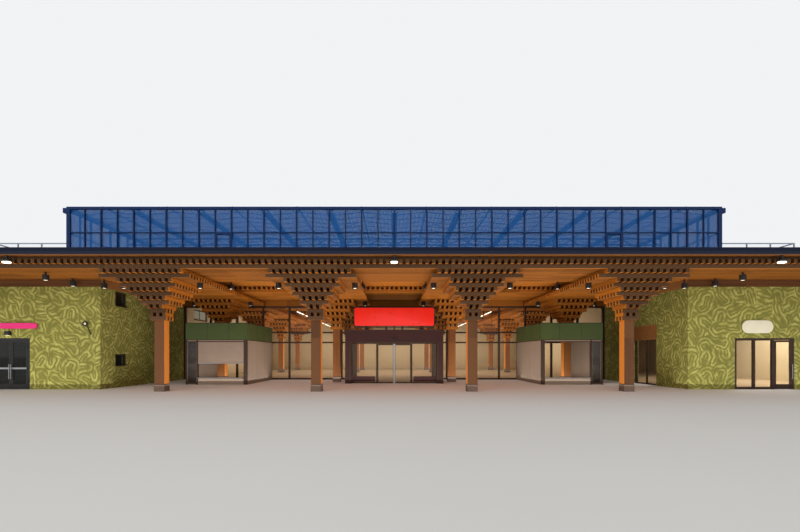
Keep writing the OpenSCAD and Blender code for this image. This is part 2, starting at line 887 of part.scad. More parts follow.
// A raised deck with a skirt, open underneath, standing on the roof deck
module upper_deck() {
    color("gray")
        difference() {
            block([-half_width, upper_deck_front_y, deck_top_z], [half_width, rear_wall_y, upper_deck_z]);
            block([-half_width + upper_deck_t, upper_deck_front_y + upper_deck_t, deck_top_z - 1],
                  [half_width - upper_deck_t, rear_wall_y - upper_deck_t, upper_deck_z - upper_deck_t]);
        }
}

// A greenhouse wall drawn flat, with its panes counted from the middle
module gh_wall_outline(panes) {
    half = panes * gh_pane / 2 + gh_corner_w / 2;
    for (i = [1 : panes - 1]) {
        w = i % 2 == 0 ? gh_thick_bar * gh_bar_w : gh_bar_w;
        x = (i - panes / 2) * gh_pane;
        pane([x - w / 2, upper_deck_z], [x + w / 2, gh_top_z]);
    }
    for (x = [-half, half - gh_corner_w])
        pane([x, upper_deck_z], [x + gh_corner_w, gh_top_z]);
    pane([-half, gh_top_z - gh_head_h], [half, gh_top_z]);
    pane([-half, upper_deck_z], [half, upper_deck_z + gh_head_h]);
    pane([-half, gh_rail_z - gh_bar_w / 2], [half, gh_rail_z + gh_bar_w / 2]);
}

module greenhouse_front_frame() {
    color(blue_steel) upright(gh_front_y, gh_frame_d) gh_wall_outline(gh_front_panes);
}

module greenhouse_rear_frame() {
    color(blue_steel) upright(gh_rear_y - gh_frame_d, gh_frame_d) gh_wall_outline(gh_front_panes);
}

module greenhouse_side_frames() {
    middle_y = (gh_front_y + gh_rear_y) / 2;
    color(blue_steel)
        for (x = [-gh_half_w, gh_half_w - gh_frame_d])
            sideways(x, gh_frame_d)
                intersection() {
                    translate([middle_y, 0]) gh_wall_outline(gh_side_panes);
                    pane([gh_front_y + gh_frame_d, upper_deck_z], [gh_rear_y - gh_frame_d, gh_top_z]);
                }
}

gutter_z = gh_top_z - gh_head_h - gutter_h;
girder_z = gutter_z - girder_h;
gh_inner_y0 = gh_front_y + gh_frame_d + pane_t;
gh_inner_y1 = gh_rear_y - gh_frame_d - pane_t;
gh_inner_x = gh_half_w - gh_frame_d - pane_t;
gh_spans = round(gh_front_panes / gh_span_panes);
gh_span = 2 * gh_inner_x / gh_spans;

// One lattice girder drawn flat: two chords, a zig-zag of two waves a span between them, and
// posts under every second gutter
module girder_outline() {
    wave = gh_span / 2;
    for (z = [girder_z, gutter_z - girder_bar])
        pane([-gh_inner_x, z], [gh_inner_x, z + girder_bar]);
    for (i = [0 : 2 * gh_spans - 1], side = [-1, 1])
        translate([(i - gh_spans + 0.5) * wave, 0])
            polygon([[side * wave / 2, girder_z], [side * (wave / 2 - girder_bar), girder_z],
                     [-side * girder_bar / 2, gutter_z], [side * girder_bar / 2, gutter_z]]);
    for (i = [2 : 2 : gh_spans - 1])
        translate([(i - gh_spans / 2) * gh_span, 0])
            pane([-girder_bar, upper_deck_z], [girder_bar, gutter_z]);
}

module greenhouse_girders() {
    color(blue_steel)
        for (i = [1 : gh_side_panes / girder_panes - 1])
            upright(gh_front_y + gh_corner_w / 2 + i * girder_panes * gh_pane - girder_bar, 2 * girder_bar)
                girder_outline();
}

// Gutters front to back with ridged glass between them, one solid
module greenhouse_roof() {
    glass_z = gutter_z + gutter_h;
    color("lightsteelblue")
        upright(gh_inner_y0, gh_inner_y1 - gh_inner_y0) {
            for (i = [0 : gh_spans]) {
                x = (i - gh_spans / 2) * gh_span;
                pane([max(-gh_inner_x, x - gutter_w / 2), gutter_z],
                     [min(gh_inner_x, x + gutter_w / 2), glass_z]);
            }
            for (i = [0 : gh_spans - 1])
                translate([(i - gh_spans / 2) * gh_span, glass_z])
                    polygon([[0, -pane_t], [gh_span / 2, ridge_rise - pane_t], [gh_span, -pane_t],
                             [gh_span, 0], [gh_span / 2, ridge_rise], [0, 0]]);
        }
}

// One sheet on the inner face of each wall's frame; the front and rear ones stop just short of
// the side ones
module greenhouse_wall_glass() {
    half = gh_inner_x - gh_glass_gap;
    color("lightblue") {
        for (y = [gh_front_y + gh_frame_d, gh_inner_y1])
            block([-half, y, upper_deck_z], [half, y + pane_t, gh_top_z]);
        for (x = [-gh_inner_x - pane_t, gh_inner_x])
            block([x, gh_front_y + gh_frame_d, upper_deck_z],
                  [x + pane_t, gh_rear_y - gh_frame_d, gh_top_z]);
    }
}

// Guard rails from the greenhouse's corners to the deck's edges and round the rear
module guard_rails() {
    side_x = half_width - 2 * rail_t;
    front_y = gh_front_y;
    rear_y = rear_wall_y - 2 * rail_t;
    front_run = side_x - gh_half_w;
    side_run = rear_y - front_y;
    side_posts = round(side_run / rail_post_pitch);
    top_z = upper_deck_z + rail_h;
    color("silver") {
        for (z = [top_z - rail_t, upper_deck_z + rail_h / 2 - rail_t]) {
            for (side = [0, 1])
                mirror([side, 0, 0]) {
                    block([gh_half_w, front_y - rail_t, z], [side_x + rail_t, front_y, z + rail_t]);
                    block([side_x, front_y - rail_t, z], [side_x + rail_t, rear_y + rail_t, z + rail_t]);
                }
            block([-side_x, rear_y, z], [side_x, rear_y + rail_t, z + rail_t]);
        }
        for (side = [0, 1])
            mirror([side, 0, 0]) {
                for (x = [gh_half_w + front_run / 3, gh_half_w + front_run * 2 / 3])
                    block([x, front_y - rail_t, upper_deck_z], [x + rail_t, front_y, top_z]);
                for (i = [0 : side_posts])
                    block([side_x, front_y - rail_t + i * side_run / side_posts, upper_deck_z],
                          [side_x + rail_t, front_y + i * side_run / side_posts, top_z]);
            }
    }
}

// A cylinder spotlight that hangs from the height top_z, on a stem where it has one
module spotlight(x, y, top_z, stem = 0) {
    translate([x, y, top_z - stem - spot_h]) {
        cylinder(d = spot_d, h = spot_h, $fn = 32);
        if (stem > 0)
            cylinder(d = spot_d / 3, h = spot_h + stem, $fn = 32);
    }
}

// A floodlight on a bracket under the roof's front edge
module floodlight(x) {
    y = roof_front_y + flood_set;
    body_h = flood_w / 2;
    post(x, y, flood_w / 4, flood_w / 4, deck_z - flood_drop, deck_z);
    post(x, y, flood_w, flood_w * 2 / 3, deck_z - flood_drop - body_h, deck_z - flood_drop);
}

// Spotlights under the ends of the short beams on both front rows of columns, on long stems beside
// the bands in the middle of the bay, and on stems under the front row's long beams near the wings
module canopy_lamps() {
    step = spot_reach * beam_pitch;
    wing_spot_y = wing_spot_pitches * beam_pitch;
    color("#202020") {
        for (i = [-1, 0, 1])
            floodlight(i * flood_bays * bay);
        for (c = [0 : columns - 1], side = [-1, 1]) {
            for (r = [0, 1])
                spotlight(line_x(c) + side * step, row_y(r), tie_z);
            spotlight(line_x(c) + side * (step + spot_d * 2 / 5), row_y(0) + bay / 2, board_z,
                      bay_spot_stem);
        }
        for (side = [-1, 1]) {
            spotlight(side * (recess_x - inner_spot_set), row_y(0) + wing_spot_y, row_beam_z,
                      inner_spot_stem);
            for (y = [-wing_spot_y, wing_spot_y])
                spotlight(side * (recess_x + wing_spot_set), row_y(0) + y, row_beam_z, spot_stem);
        }
    }
}

ground_floor();
column_plinths();
front_columns();
inner_columns();
front_capital(1);  // front_capital_1
front_capital(2);  // front_capital_2
front_capital(3);  // front_capital_3
front_capital(4);  // front_capital_4
second_capital(1);  // second_capital_1
second_capital(2);  // second_capital_2
second_capital(3);  // second_capital_3
second_capital(4);  // second_capital_4
hall_capitals();
line_ties();
line_beams();
row_beams();
row_ties();
ceiling_boards();
roof_deck();
roof_fascia();
left_front_wall_inner();
left_front_wall_outer();
left_door_lintel();
right_front_wall_inner();
right_front_wall_outer();
right_door_lintel();
left_return_wall();
right_return_wall();
left_side_wall();
right_side_wall();
rear_wall();
wall_head_beams();
window_glass();
shopfront_header();
shopfront_frame();
shopfront_glass();
entrance_portal();
entrance_screen();
entrance_glass();
sliding_door_left();
sliding_door_right();
portal_sign();
left_kiosk_walls();
left_kiosk_fascia();
right_kiosk_walls();
right_kiosk_fascia();
left_door_frame();
left_door_leaf_1();
left_door_leaf_2();
right_door_frame();
right_door_leaf();
upper_deck();
greenhouse_front_frame();
greenhouse_rear_frame();
greenhouse_side_frames();
greenhouse_girders();
greenhouse_roof();
greenhouse_wall_glass();
guard_rails();
canopy_lamps();
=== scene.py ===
"""The looks of the supermarket hall with its roof greenhouse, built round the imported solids."""

import json
import math

import bpy
import numpy as np
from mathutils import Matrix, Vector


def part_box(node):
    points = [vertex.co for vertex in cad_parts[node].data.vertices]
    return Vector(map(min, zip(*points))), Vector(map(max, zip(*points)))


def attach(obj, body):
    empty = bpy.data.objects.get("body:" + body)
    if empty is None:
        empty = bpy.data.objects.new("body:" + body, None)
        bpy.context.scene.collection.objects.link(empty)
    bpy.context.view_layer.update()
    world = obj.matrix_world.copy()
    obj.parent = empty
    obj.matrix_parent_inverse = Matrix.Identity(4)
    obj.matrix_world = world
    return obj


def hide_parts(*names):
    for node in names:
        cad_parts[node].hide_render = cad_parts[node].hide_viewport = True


bl_info = {
    "name": "Supermarket hall with a roof greenhouse",
    "version": (1, 0, 0),
    "blender": (4, 5, 0),
    "location": "3D View > Sidebar > Hall",
    "description": "Timbers, glazing, doors, lamps and finishes for a market hall at half size",
    "category": "Object",
}

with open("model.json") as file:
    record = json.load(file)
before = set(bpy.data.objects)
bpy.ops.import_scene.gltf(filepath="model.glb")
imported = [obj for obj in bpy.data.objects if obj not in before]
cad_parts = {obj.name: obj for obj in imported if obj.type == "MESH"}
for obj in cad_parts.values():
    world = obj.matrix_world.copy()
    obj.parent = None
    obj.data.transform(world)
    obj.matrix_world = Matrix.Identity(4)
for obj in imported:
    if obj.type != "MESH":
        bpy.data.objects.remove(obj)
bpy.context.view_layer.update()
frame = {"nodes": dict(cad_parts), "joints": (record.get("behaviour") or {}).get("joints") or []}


def low(node):
    """The lowest corner of a CAD node."""
    return np.array(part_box(node)[0])


def high(node):
    """The highest corner of a CAD node."""
    return np.array(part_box(node)[1])


def sides(node):
    """The lowest and the highest x of a CAD node, then its y, then its z."""
    return np.array(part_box(node)).T.ravel()


# Columns stand where LINES and ROWS cross, one BAY apart
COLUMNS, COLUMN_ROWS = 4, 5
SHAFT = high("front_columns")[1] - low("front_columns")[1]
ROW_Y = (high("front_columns")[1] + low("front_columns")[1]) / 2
BAY = (high("front_columns")[0] - low("front_columns")[0] - SHAFT) / (COLUMNS - 1)
LINES = (np.arange(COLUMNS) - (COLUMNS - 1) / 2) * BAY
ROWS = ROW_Y + np.arange(COLUMN_ROWS) * BAY
PLINTH_Z = high("column_plinths")[2]

# Beams stand on a grid of PITCH, each BEAM wide, in layers of LAYER. END_REACH is how far their
# ends stand out past the last beam that they carry, in pitches
BAY_PITCHES, CAPITAL_LAYERS = 26, 10
PITCH = BAY / BAY_PITCHES
BEAM = 0.07
LAYER = high("line_ties")[2] - low("line_ties")[2]
END_REACH = (high("front_capital_1")[0] - LINES[0]) / PITCH - (CAPITAL_LAYERS / 2 - 1)
CAPITAL_Z = low("front_capital_1")[2]
TIE_Z = low("line_ties")[2]
TIE_HALF = high("line_ties")[0] - LINES[-1]
ROW_TIE_Z = low("row_ties")[2]
ROW_TIE_HALF = ROW_Y - low("row_ties")[1]
BOARD_Z = low("ceiling_boards")[2]

# Faces of the walls: the recess lies between the wings, behind the front row
RECESS_X = 2 * BAY
HALF_W, REAR_Y = high("rear_wall")[:2]
INNER_REAR = low("rear_wall")[1]
WING_Y = low("left_front_wall_inner")[1]
WALL = HALF_W - low("right_side_wall")[0]
SHOP_Y = low("shopfront_frame")[1]

# How far a trim reaches into what carries it
LAP = 0.002


def solid(points, *faces):
    """A part: rows of points and arrays of faces, each face turned outwards. Fanned from its first
    point each face gives tetrahedra with the origin; where their volumes sum below zero the faces
    are turned round."""
    points = np.asarray(points, float).reshape(-1, 3)
    volume = 0.0
    for f in faces:
        for k in range(1, f.shape[1] - 1):
            a, b, c = points[f[:, 0]], points[f[:, k]], points[f[:, k + 1]]
            volume += np.einsum("ij,ij->i", a, np.cross(b, c)).sum()
    return points, [f[:, ::-1] if volume < 0 else f for f in faces]


def unit(v):
    """Each row divided by its length."""
    return v / np.linalg.norm(v, axis=-1, keepdims=True)


def pairs_of(start, end):
    """Start and end points as two arrays of equally many rows."""
    return np.broadcast_arrays(np.atleast_2d(np.asarray(start, float)),
                               np.atleast_2d(np.asarray(end, float)))


def sorted_corner(a, b):
    """Two opposite corners as lowest and highest."""
    pair = np.array([a, b], float)
    return pair.min(0), pair.max(0)


def both(x0, x1, y0, y1, z0, z1):
    """The corners of a block on the right and of its mirror image on the left."""
    return [((x0, y0, z0), (x1, y1, z1)), ((-x1, y0, z0), (-x0, y1, z1))]


def carried(outlines, closed_path=False):
    """A skin over outlines of shape (solids, stations, points, 3): point j of station i joins point
    j + 1 and the next station. An open path is closed flat at its two ends."""
    n, m, k, _ = outlines.shape
    number = np.arange(n * m * k).reshape(n, m, k)
    near = number if closed_path else number[:, :-1]
    far = np.roll(number, -1, 1) if closed_path else number[:, 1:]
    skin = np.stack([np.roll(near, -1, 2), near, far, np.roll(far, -1, 2)], -1).reshape(-1, 4)
    if closed_path:
        return solid(outlines, skin)
    caps = np.concatenate([number[:, 0], number[:, -1, ::-1]])
    return solid(outlines, skin, caps)


def carried_channel(outline):
    """A channel section of eight points carried between two stations: its ends are three quads,
    since the section isn't convex."""
    near, far = np.arange(16).reshape(2, 8)
    skin = np.stack([np.roll(near, -1), near, far, np.roll(far, -1)], -1)
    flaps = np.array([(0, 1, 6, 7), (1, 2, 5, 6), (2, 3, 4, 5)])
    return solid(outline, skin, np.concatenate([near[flaps], far[flaps][:, ::-1]]))


def bars(start, end, width, height, up=(0, 0, 1), cut=0.0, end_cut=0.0):
    """Straight bars. Their section is a rectangle, width across and height along up, with its
    corners cut off by cut, and it is carried from each start point to each end point; with an
    end_cut both ends also taper in by that much over that length."""
    start, end = pairs_of(start, end)
    along = unit(end - start)
    side = unit(np.cross(along, np.asarray(up, float)))
    lift = np.cross(side, along)
    if cut:
        sign = np.array([(1, -1), (1, 1), (1, 1), (-1, 1), (-1, 1), (-1, -1), (-1, -1), (1, -1)])
        trim = np.array([(0, 1), (0, 1), (1, 0), (1, 0)] * 2) * cut
    else:
        sign = np.array([(1, -1), (1, 1), (-1, 1), (-1, -1)])
        trim = np.zeros((4, 2))
    half = np.broadcast_to(np.stack(np.broadcast_arrays(width, height), -1) / 2, (len(start), 2))
    stations = [(start, 0, end_cut), (start, end_cut, 0), (end, -end_cut, 0), (end, 0, end_cut)]
    rings = []
    for origin, shift, taper in stations if end_cut else [(start, 0, 0), (end, 0, 0)]:
        flat = sign * (half[:, None] - trim - taper)
        rings.append((origin + shift * along)[:, None] + flat[..., :1] * side[:, None]
                     + flat[..., 1:] * lift[:, None])
    return carried(np.stack(rings, 1))


def boxes(corners, cut=0.003):
    """Blocks between pairs of opposite corners, each a bar along its own longest side."""
    corners = np.asarray(corners, float).reshape(-1, 2, 3)
    size = corners[:, 1] - corners[:, 0]
    middle = corners.mean(1)
    parts = []
    for axis, (across, tall) in enumerate(((1, 2), (0, 2), (1, 0))):
        chosen = size.argmax(1) == axis
        if chosen.any():
            reach = np.zeros((chosen.sum(), 3))
            reach[:, axis] = size[chosen, axis] / 2
            parts.append(bars(middle[chosen] - reach, middle[chosen] + reach, size[chosen, across],
                              size[chosen, tall], np.eye(3)[tall], cut))
    return parts


def rods(start, end, radius, count=10):
    """Round rods: a circle of that radius in count points, carried from start to end."""
    start, end = pairs_of(start, end)
    along = unit(end - start)
    guide = np.where(np.abs(along[:, 2:]) > 0.9, [[1.0, 0, 0]], [[0, 0, 1.0]])
    side = unit(np.cross(along, guide))
    lift = np.cross(side, along)
    angle = np.arange(count)[:, None] * 2 * np.pi / count
    ring = radius * (np.cos(angle) * side[:, None] + np.sin(angle) * lift[:, None])
    return carried(np.stack([start[:, None] + ring, end[:, None] + ring], 1))


def turned(profile, centres, axis=2, count=24):
    """Turned parts. Row i of the profile is a radius and a height; its point j lies at that radius
    at the angle 2 pi j / count and at that height above each centre along the axis, Y or Z."""
    radius, rise = np.asarray(profile, float).T
    angle = np.arange(count) * 2 * np.pi / count
    ring = np.stack([radius[:, None] * np.cos(angle), radius[:, None] * np.sin(angle),
                     np.broadcast_to(rise[:, None], (len(rise), count))], -1)
    ring = ring[..., [0, 1, 2] if axis == 2 else [0, 2, 1]]
    centres = np.atleast_2d(np.asarray(centres, float))
    return carried(centres[:, None, None] + ring)


def round_rectangle(profile, lowest, highest, plane="xy"):
    """A closed profile carried round a rectangle and mitred at its corners. Each profile row is a
    distance inwards from the rectangle and a place across its plane."""
    inward, across = np.asarray(profile, float).T
    (u0, v0), (u1, v1) = lowest, highest
    u = np.stack([u0 + inward, u1 - inward, u1 - inward, u0 + inward])
    v = np.stack([v0 + inward, v0 + inward, v1 - inward, v1 - inward])
    w = np.broadcast_to(across, u.shape)
    order = {"xy": (u, v, w), "xz": (u, w, v), "yz": (w, u, v)}[plane]
    return carried(np.stack(order, -1)[None], closed_path=True)


def section(inner, outer, near, far, cut=0.003):
    """A rectangle's profile with cut corners, for round_rectangle."""
    return [(inner + cut, near), (outer - cut, near), (outer, near + cut), (outer, far - cut),
            (outer - cut, far), (inner + cut, far), (inner, far - cut), (inner, near + cut)]


def soft_slab(lowest, highest, corner, edge, axis=1, steps=5):
    """A slab with rounded corners and edges. Its outline is a rectangle with an arc at each corner.
    Station i is that outline, drawn in and moved across the slab as one goes round the quarter
    circle of its near edge and then of its far edge."""
    lowest, highest = np.asarray(lowest, float), np.asarray(highest, float)
    flat = [a for a in range(3) if a != axis]
    middle, half = (lowest + highest) / 2, (highest - lowest) / 2
    quarter = np.linspace(0, np.pi / 2, steps)
    arc = (quarter[None] + np.arange(4)[:, None] * np.pi / 2).ravel()
    signs = np.repeat([(1, 1), (-1, 1), (-1, -1), (1, -1)], steps, axis=0)
    inset = np.concatenate([edge * (1 - np.sin(quarter)), edge * (1 - np.cos(quarter))])
    depth = np.concatenate([edge * (1 - np.cos(quarter)) - half[axis],
                            half[axis] - edge * (1 - np.sin(quarter))])
    radius = np.maximum(corner - inset, 1e-4)[:, None, None]
    centre = signs * (half[flat] - corner)
    points = np.zeros((len(inset), len(arc), 3))
    points[..., flat] = centre + radius * np.stack([np.cos(arc), np.sin(arc)], -1)
    points[..., axis] = depth[:, None]
    return carried((middle + points)[None])


def sloped_panes(slopes, y0, y1, z0, z1, thick):
    """Flat sheets from each eave up to its ridge: a section of four points, thick across, carried
    from y0 to y1."""
    a, b = slopes.T
    x = np.stack([a, b, b, a], 1)
    z = np.broadcast_to([z0, z1, z1 + thick, z0 + thick], x.shape)
    flat = np.stack([x, z], -1)
    flat = np.where((b < a)[:, None, None], flat[:, ::-1], flat)
    points = np.zeros((len(a), 2, 4, 3))
    points[..., [0, 2]] = flat[:, None]
    points[:, 0, :, 1], points[:, 1, :, 1] = y0, y1
    return carried(points)


def solids_of(node):
    """The corners of each loose solid of a CAD node. Points at one place count as one, and each
    face gives its points the smallest number among them until no number changes."""
    mesh = frame["nodes"][node].data
    points = np.zeros(len(mesh.vertices) * 3)
    mesh.vertices.foreach_get("co", points)
    points = points.reshape(-1, 3)
    _, number = np.unique(np.round(points, 5), axis=0, return_inverse=True)
    number = number.ravel()
    mesh.calc_loop_triangles()
    triangles = np.zeros(len(mesh.loop_triangles) * 3, np.int32)
    mesh.loop_triangles.foreach_get("vertices", triangles)
    triangles = number[triangles.reshape(-1, 3)]
    group = np.arange(number.max() + 1)
    while True:
        least = group[triangles].min(1)
        new = group.copy()
        for k in range(3):
            np.minimum.at(new, triangles[:, k], least)
        if (new == group).all():
            break
        group = new
    label = group[number]
    return [(points[label == g].min(0), points[label == g].max(0)) for g in np.unique(label)]


# A slot name for each finish, which piece looks up unless a piece names another;
# piece puts no mesh in that slot
SLOT_OF_FINISH = {finish: slot for slot, finishes in {
    "lit_timber": ["crossed", "pale_wood"],
    "shaded_timber": ["battens", "boards"],
    "edge_metal": ["cap_sheet", "face_sheet"],
    "concrete": ["felt", "skirt"],
    "dark_metal": ["bronze", "portal"],
    "rail_steel": ["aluminium", "zinc", "dial"],
    "kiosk_panel": ["laminate", "blind"],
    "lamp_black": ["black", "lens"],
    "sign_red": ["lit_red", "lit_pink"],
    "clear_glass": ["glass", "dark_glass", "blue_glass"],
    "greenhouse_steel": ["steel", "wire"],
}.items() for finish in finishes}
FINISHES = {}
# A rounded piece is shaded smooth except where its faces meet at more than this angle
SHARP = math.radians(40)


def piece(name, parts, finish, slot=None, body="building", replaces=(), rounded=False):
    """Joins parts into one mesh object with one finish, and says which body it rides on."""
    parts = [parts] if isinstance(parts, tuple) else list(parts)
    first = np.cumsum([0] + [len(points) for points, _ in parts])
    loops, totals = [], []
    for start, (_, faces) in zip(first, parts):
        for f in faces:
            loops.append((f + start).ravel())
            totals.append(np.full(len(f), f.shape[1]))
    loops, totals = np.concatenate(loops), np.concatenate(totals)
    mesh = bpy.data.meshes.new(name)
    mesh.vertices.add(first[-1])
    mesh.vertices.foreach_set("co", np.concatenate([p for p, _ in parts]).ravel())
    mesh.loops.add(len(loops))
    mesh.loops.foreach_set("vertex_index", loops.astype(np.int32))
    mesh.polygons.add(len(totals))
    mesh.polygons.foreach_set("loop_start", (np.cumsum(totals) - totals).astype(np.int32))
    mesh.update(calc_edges=True)
    if mesh.validate():
        raise RuntimeError(f"{name} has faces that Blender had to mend")
    if rounded:
        mesh.shade_smooth()
        mesh.set_sharp_from_angle(angle=SHARP)
    else:
        mesh.shade_flat()
    mesh.materials.append(FINISHES[finish])
    made = bpy.data.objects.new(name, mesh)
    bpy.context.scene.collection.objects.link(made)
    slot = slot or SLOT_OF_FINISH[finish]
    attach(made, body)
    if replaces:
        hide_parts(*replaces)


def linear(code):
    """An sRGB hex colour as linear red, green, blue and 1."""
    rgb = np.array([int(code[i:i + 2], 16) for i in (1, 3, 5)]) / 255
    return (*np.where(rgb <= 0.04045, rgb / 12.92, ((rgb + 0.055) / 1.055) ** 2.4), 1.0)


def darker(tint, share):
    """A linear colour times a share."""
    return (*[c * share for c in tint[:3]], 1.0)


def colour(name, description, code):
    """A colour property whose default is an sRGB hex colour."""
    return bpy.props.FloatVectorProperty(name=name, description=description, subtype="COLOR",
                                         size=4, min=0, max=1, default=linear(code))


def length(name, description, default):
    """A length property in metres."""
    return bpy.props.FloatProperty(name=name, description=description, unit="LENGTH",
                                   subtype="DISTANCE", min=0, default=default)


def add(tree, kind, sockets=(), stops=(), **settings):
    """Adds a node and returns its outputs. It sets the node's properties and a ramp's two stops,
    and gives each of the named inputs a value or a link from another node's output."""
    node = tree.nodes.new("ShaderNode" + kind)
    for key, value in settings.items():
        setattr(node, key, value)
    for i, (place, tint) in enumerate(stops):
        stop = node.color_ramp.elements[i]
        stop.position, stop.color = place, tint
    for key, value in dict(sockets).items():
        if isinstance(value, bpy.types.NodeSocket):
            tree.links.new(value, node.inputs[key])
        else:
            node.inputs[key].default_value = value
    return node.outputs


def new_material(name):
    """A material without nodes."""
    material = bpy.data.materials.new(name)
    material.use_nodes = True
    material.node_tree.nodes.clear()
    return material


def shaded(material, tint, bump=None, depth=0.0, **values):
    """Ends a material's tree with its shader, which gets the colour and a bump of that depth."""
    tree = material.node_tree
    sockets = {key.replace("_", " "): value for key, value in values.items()}
    sockets["Base Color"] = tint
    if bump is not None:
        sockets["Normal"] = add(tree, "Bump", {"Height": bump, "Distance": depth})[0]
    shader = add(tree, "BsdfPrincipled", sockets)[0]
    add(tree, "OutputMaterial", {"Surface": shader})
    return material


# Timbers are joined end to end from sticks of this length, each with a tone of its own
STICK = 2.4
# Streaks a metre, along a timber and across it. The grain is about 4 mm wide on the real timber,
# drawn at 12 mm so that it shows
STREAKS = (1.5, 80.0, 80.0)
# Glue lines are 40 mm apart on the real timber, so 20 mm here, drawn 42.5 mm apart to show
PLY, GLUE_LINE = 0.0425, 0.0022


def painted_gap_shade(tree, x, nx, layer, turn):
    """What the crossed timber's colour is multiplied by: painted shade, a small share, on the sides
    of beams along Y in the gaps between two of them, and 1 on the outermost beams of each layer."""
    # The outermost beam's number, counted from the column line: half the layer's, and at least 1;
    # one more in the line beams and the row beams, and past all in the layers above them
    last = add(tree, "Math", {0: layer, 1: 0.5}, operation="MULTIPLY")[0]
    last = add(tree, "Math", {0: last}, operation="FLOOR")[0]
    last = add(tree, "Math", {0: last, 1: 1.0}, operation="MAXIMUM")[0]
    for limit, more in ((CAPITAL_LAYERS + 0.5, 1.0), (CAPITAL_LAYERS + 2.5, 100.0)):
        above = add(tree, "Math", {0: layer, 1: limit}, operation="GREATER_THAN")[0]
        last = add(tree, "Math", {0: above, 1: more, 2: last}, operation="MULTIPLY_ADD")[0]
    last = add(tree, "Math", {0: last, 1: PITCH}, operation="MULTIPLY")[0]
    from_line = add(tree, "Math", {0: x, 1: LINES[0]}, operation="SUBTRACT")[0]
    from_line = add(tree, "Math", {0: from_line, 1: BAY / 2}, operation="PINGPONG")[0]
    gap = add(tree, "Math", {0: last, 1: from_line}, operation="GREATER_THAN")[0]
    sideways = add(tree, "Math", {0: nx}, operation="ABSOLUTE")[0]
    sideways = add(tree, "MapRange", {"Value": sideways, 1: 0.6, 2: 0.8})[0]
    for part in (turn, sideways):
        gap = add(tree, "Math", {0: gap, 1: part}, operation="MULTIPLY")[0]
    return add(tree, "MapRange", {"Value": gap, 3: 1.0, 4: 0.12})[0]


def glulam(name, tint, front_painted_shade_tint, run):
    """Planed glued laminated spruce, oiled. The eye gets streaks along each timber, faint glue
    lines, another tone from timber to timber, and on faces to the front a darker tint, which is
    painted shade, with less of it under the roof. run is "crossed" where layers of beams take
    turns along X and Y, or the axis that the timbers run along."""
    material = new_material(name)
    tree = material.node_tree
    x, y, z = add(tree, "SeparateXYZ", {0: add(tree, "TexCoord")["Object"]})
    nx, ny, _ = add(tree, "SeparateXYZ", {0: add(tree, "NewGeometry")["Normal"]})
    if run == "crossed":
        # A little more than the layer's number, so that its lower face counts as its own
        level = add(tree, "MapRange", {"Value": z, 1: CAPITAL_Z, 2: CAPITAL_Z + LAYER, 3: 0.02,
                                       4: 1.02}, clamp=False)[0]
        layer = add(tree, "Math", {0: level}, operation="FLOOR")[0]
        turn = add(tree, "Math", {0: layer, 1: 2.0}, operation="FLOORED_MODULO")[0]
        from_row = add(tree, "Math", {0: y, 1: ROW_Y}, operation="SUBTRACT")[0]
        along = add(tree, "Mix", {"Factor": turn, 2: x, 3: y})[0]
        across = add(tree, "Mix", {"Factor": turn, 2: from_row, 3: x})[0]
        spacing = PITCH
        # Painted shade on the sides of beams in the gaps between crossed beams
        gap = painted_gap_shade(tree, x, nx, layer, turn)
    else:
        along, across = (x, y) if run == "X" else (z, x)
        spacing = BAY / 2
        layer = add(tree, "Math", {0: y, 1: spacing}, operation="DIVIDE")[0]
        gap = 1.0
    # The timber's number and its stick's
    numbers = []
    for value, size in ((across, spacing), (along, STICK)):
        value = add(tree, "Math", {0: value, 1: size}, operation="DIVIDE")[0]
        numbers.append(add(tree, "Math", {0: value}, operation="ROUND")[0])
    which = add(tree, "CombineXYZ", {0: numbers[0], 1: layer, 2: numbers[1]})[0]
    tone = add(tree, "TexWhiteNoise", {"Vector": which})["Value"]
    fibre = add(tree, "CombineXYZ", {0: along, 1: across, 2: y if run == "Z" else z})[0]
    fibre = add(tree, "VectorMath", {0: fibre, 1: STREAKS}, operation="MULTIPLY")[0]
    fibre = add(tree, "VectorMath", {0: fibre, 1: which}, operation="ADD")[0]
    grain = add(tree, "TexNoise", {"Vector": fibre, "Scale": 1.0, "Detail": 5.0,
                                   "Roughness": 0.6})[0]
    clouds = add(tree, "TexNoise", {"Vector": fibre, "Scale": 0.06, "Detail": 2.0})[0]
    mixed = add(tree, "Math", {0: tone, 1: 0.55, 2: grain}, operation="MULTIPLY_ADD")[0]
    mixed = add(tree, "Math", {0: clouds, 1: 0.5, 2: mixed}, operation="MULTIPLY_ADD")[0]
    shade = add(tree, "MapRange", {"Value": mixed, 1: 0.62, 2: 1.1, 3: 0.62, 4: 1.06})[0]
    plies = add(tree, "Math", {0: x if run == "Z" else z, 1: PLY / 2}, operation="PINGPONG")[0]
    line = add(tree, "MapRange", {"Value": plies, 1: 0.0, 2: GLUE_LINE, 3: 0.82, 4: 1.0})[0]
    # Glue lines, and painted shade in the gaps between crossed beams
    for part in (line, gap):
        shade = add(tree, "Math", {0: shade, 1: part}, operation="MULTIPLY")[0]
    # Faces to the front get a darker tint, which is painted shade, with less of it further under
    # the roof
    front = add(tree, "MapRange", {"Value": ny, 1: -0.2, 2: -0.8})[0]
    front_shade_fade = add(tree, "MapRange", {"Value": y, 1: ROWS[0] + 1.1, 2: ROWS[1] - 0.9, 3: 1.0,
                                      4: 0.8 if run == "Z" else 0.3})[0]
    front = add(tree, "Math", {0: front, 1: front_shade_fade}, operation="MULTIPLY")[0]
    wood = add(tree, "Mix", {"Factor": front, 6: tint, 7: front_painted_shade_tint}, data_type="RGBA")[2]
    wood = add(tree, "Mix", {"Factor": 1.0, 6: wood, 7: shade}, data_type="RGBA",
               blend_type="MULTIPLY")[2]
    dry = add(tree, "MapRange", {"Value": grain, 3: 0.55, 4: 0.75})[0]
    return shaded(material, wood, grain, 0.0012, Roughness=dry, Specular_IOR_Level=0.2)


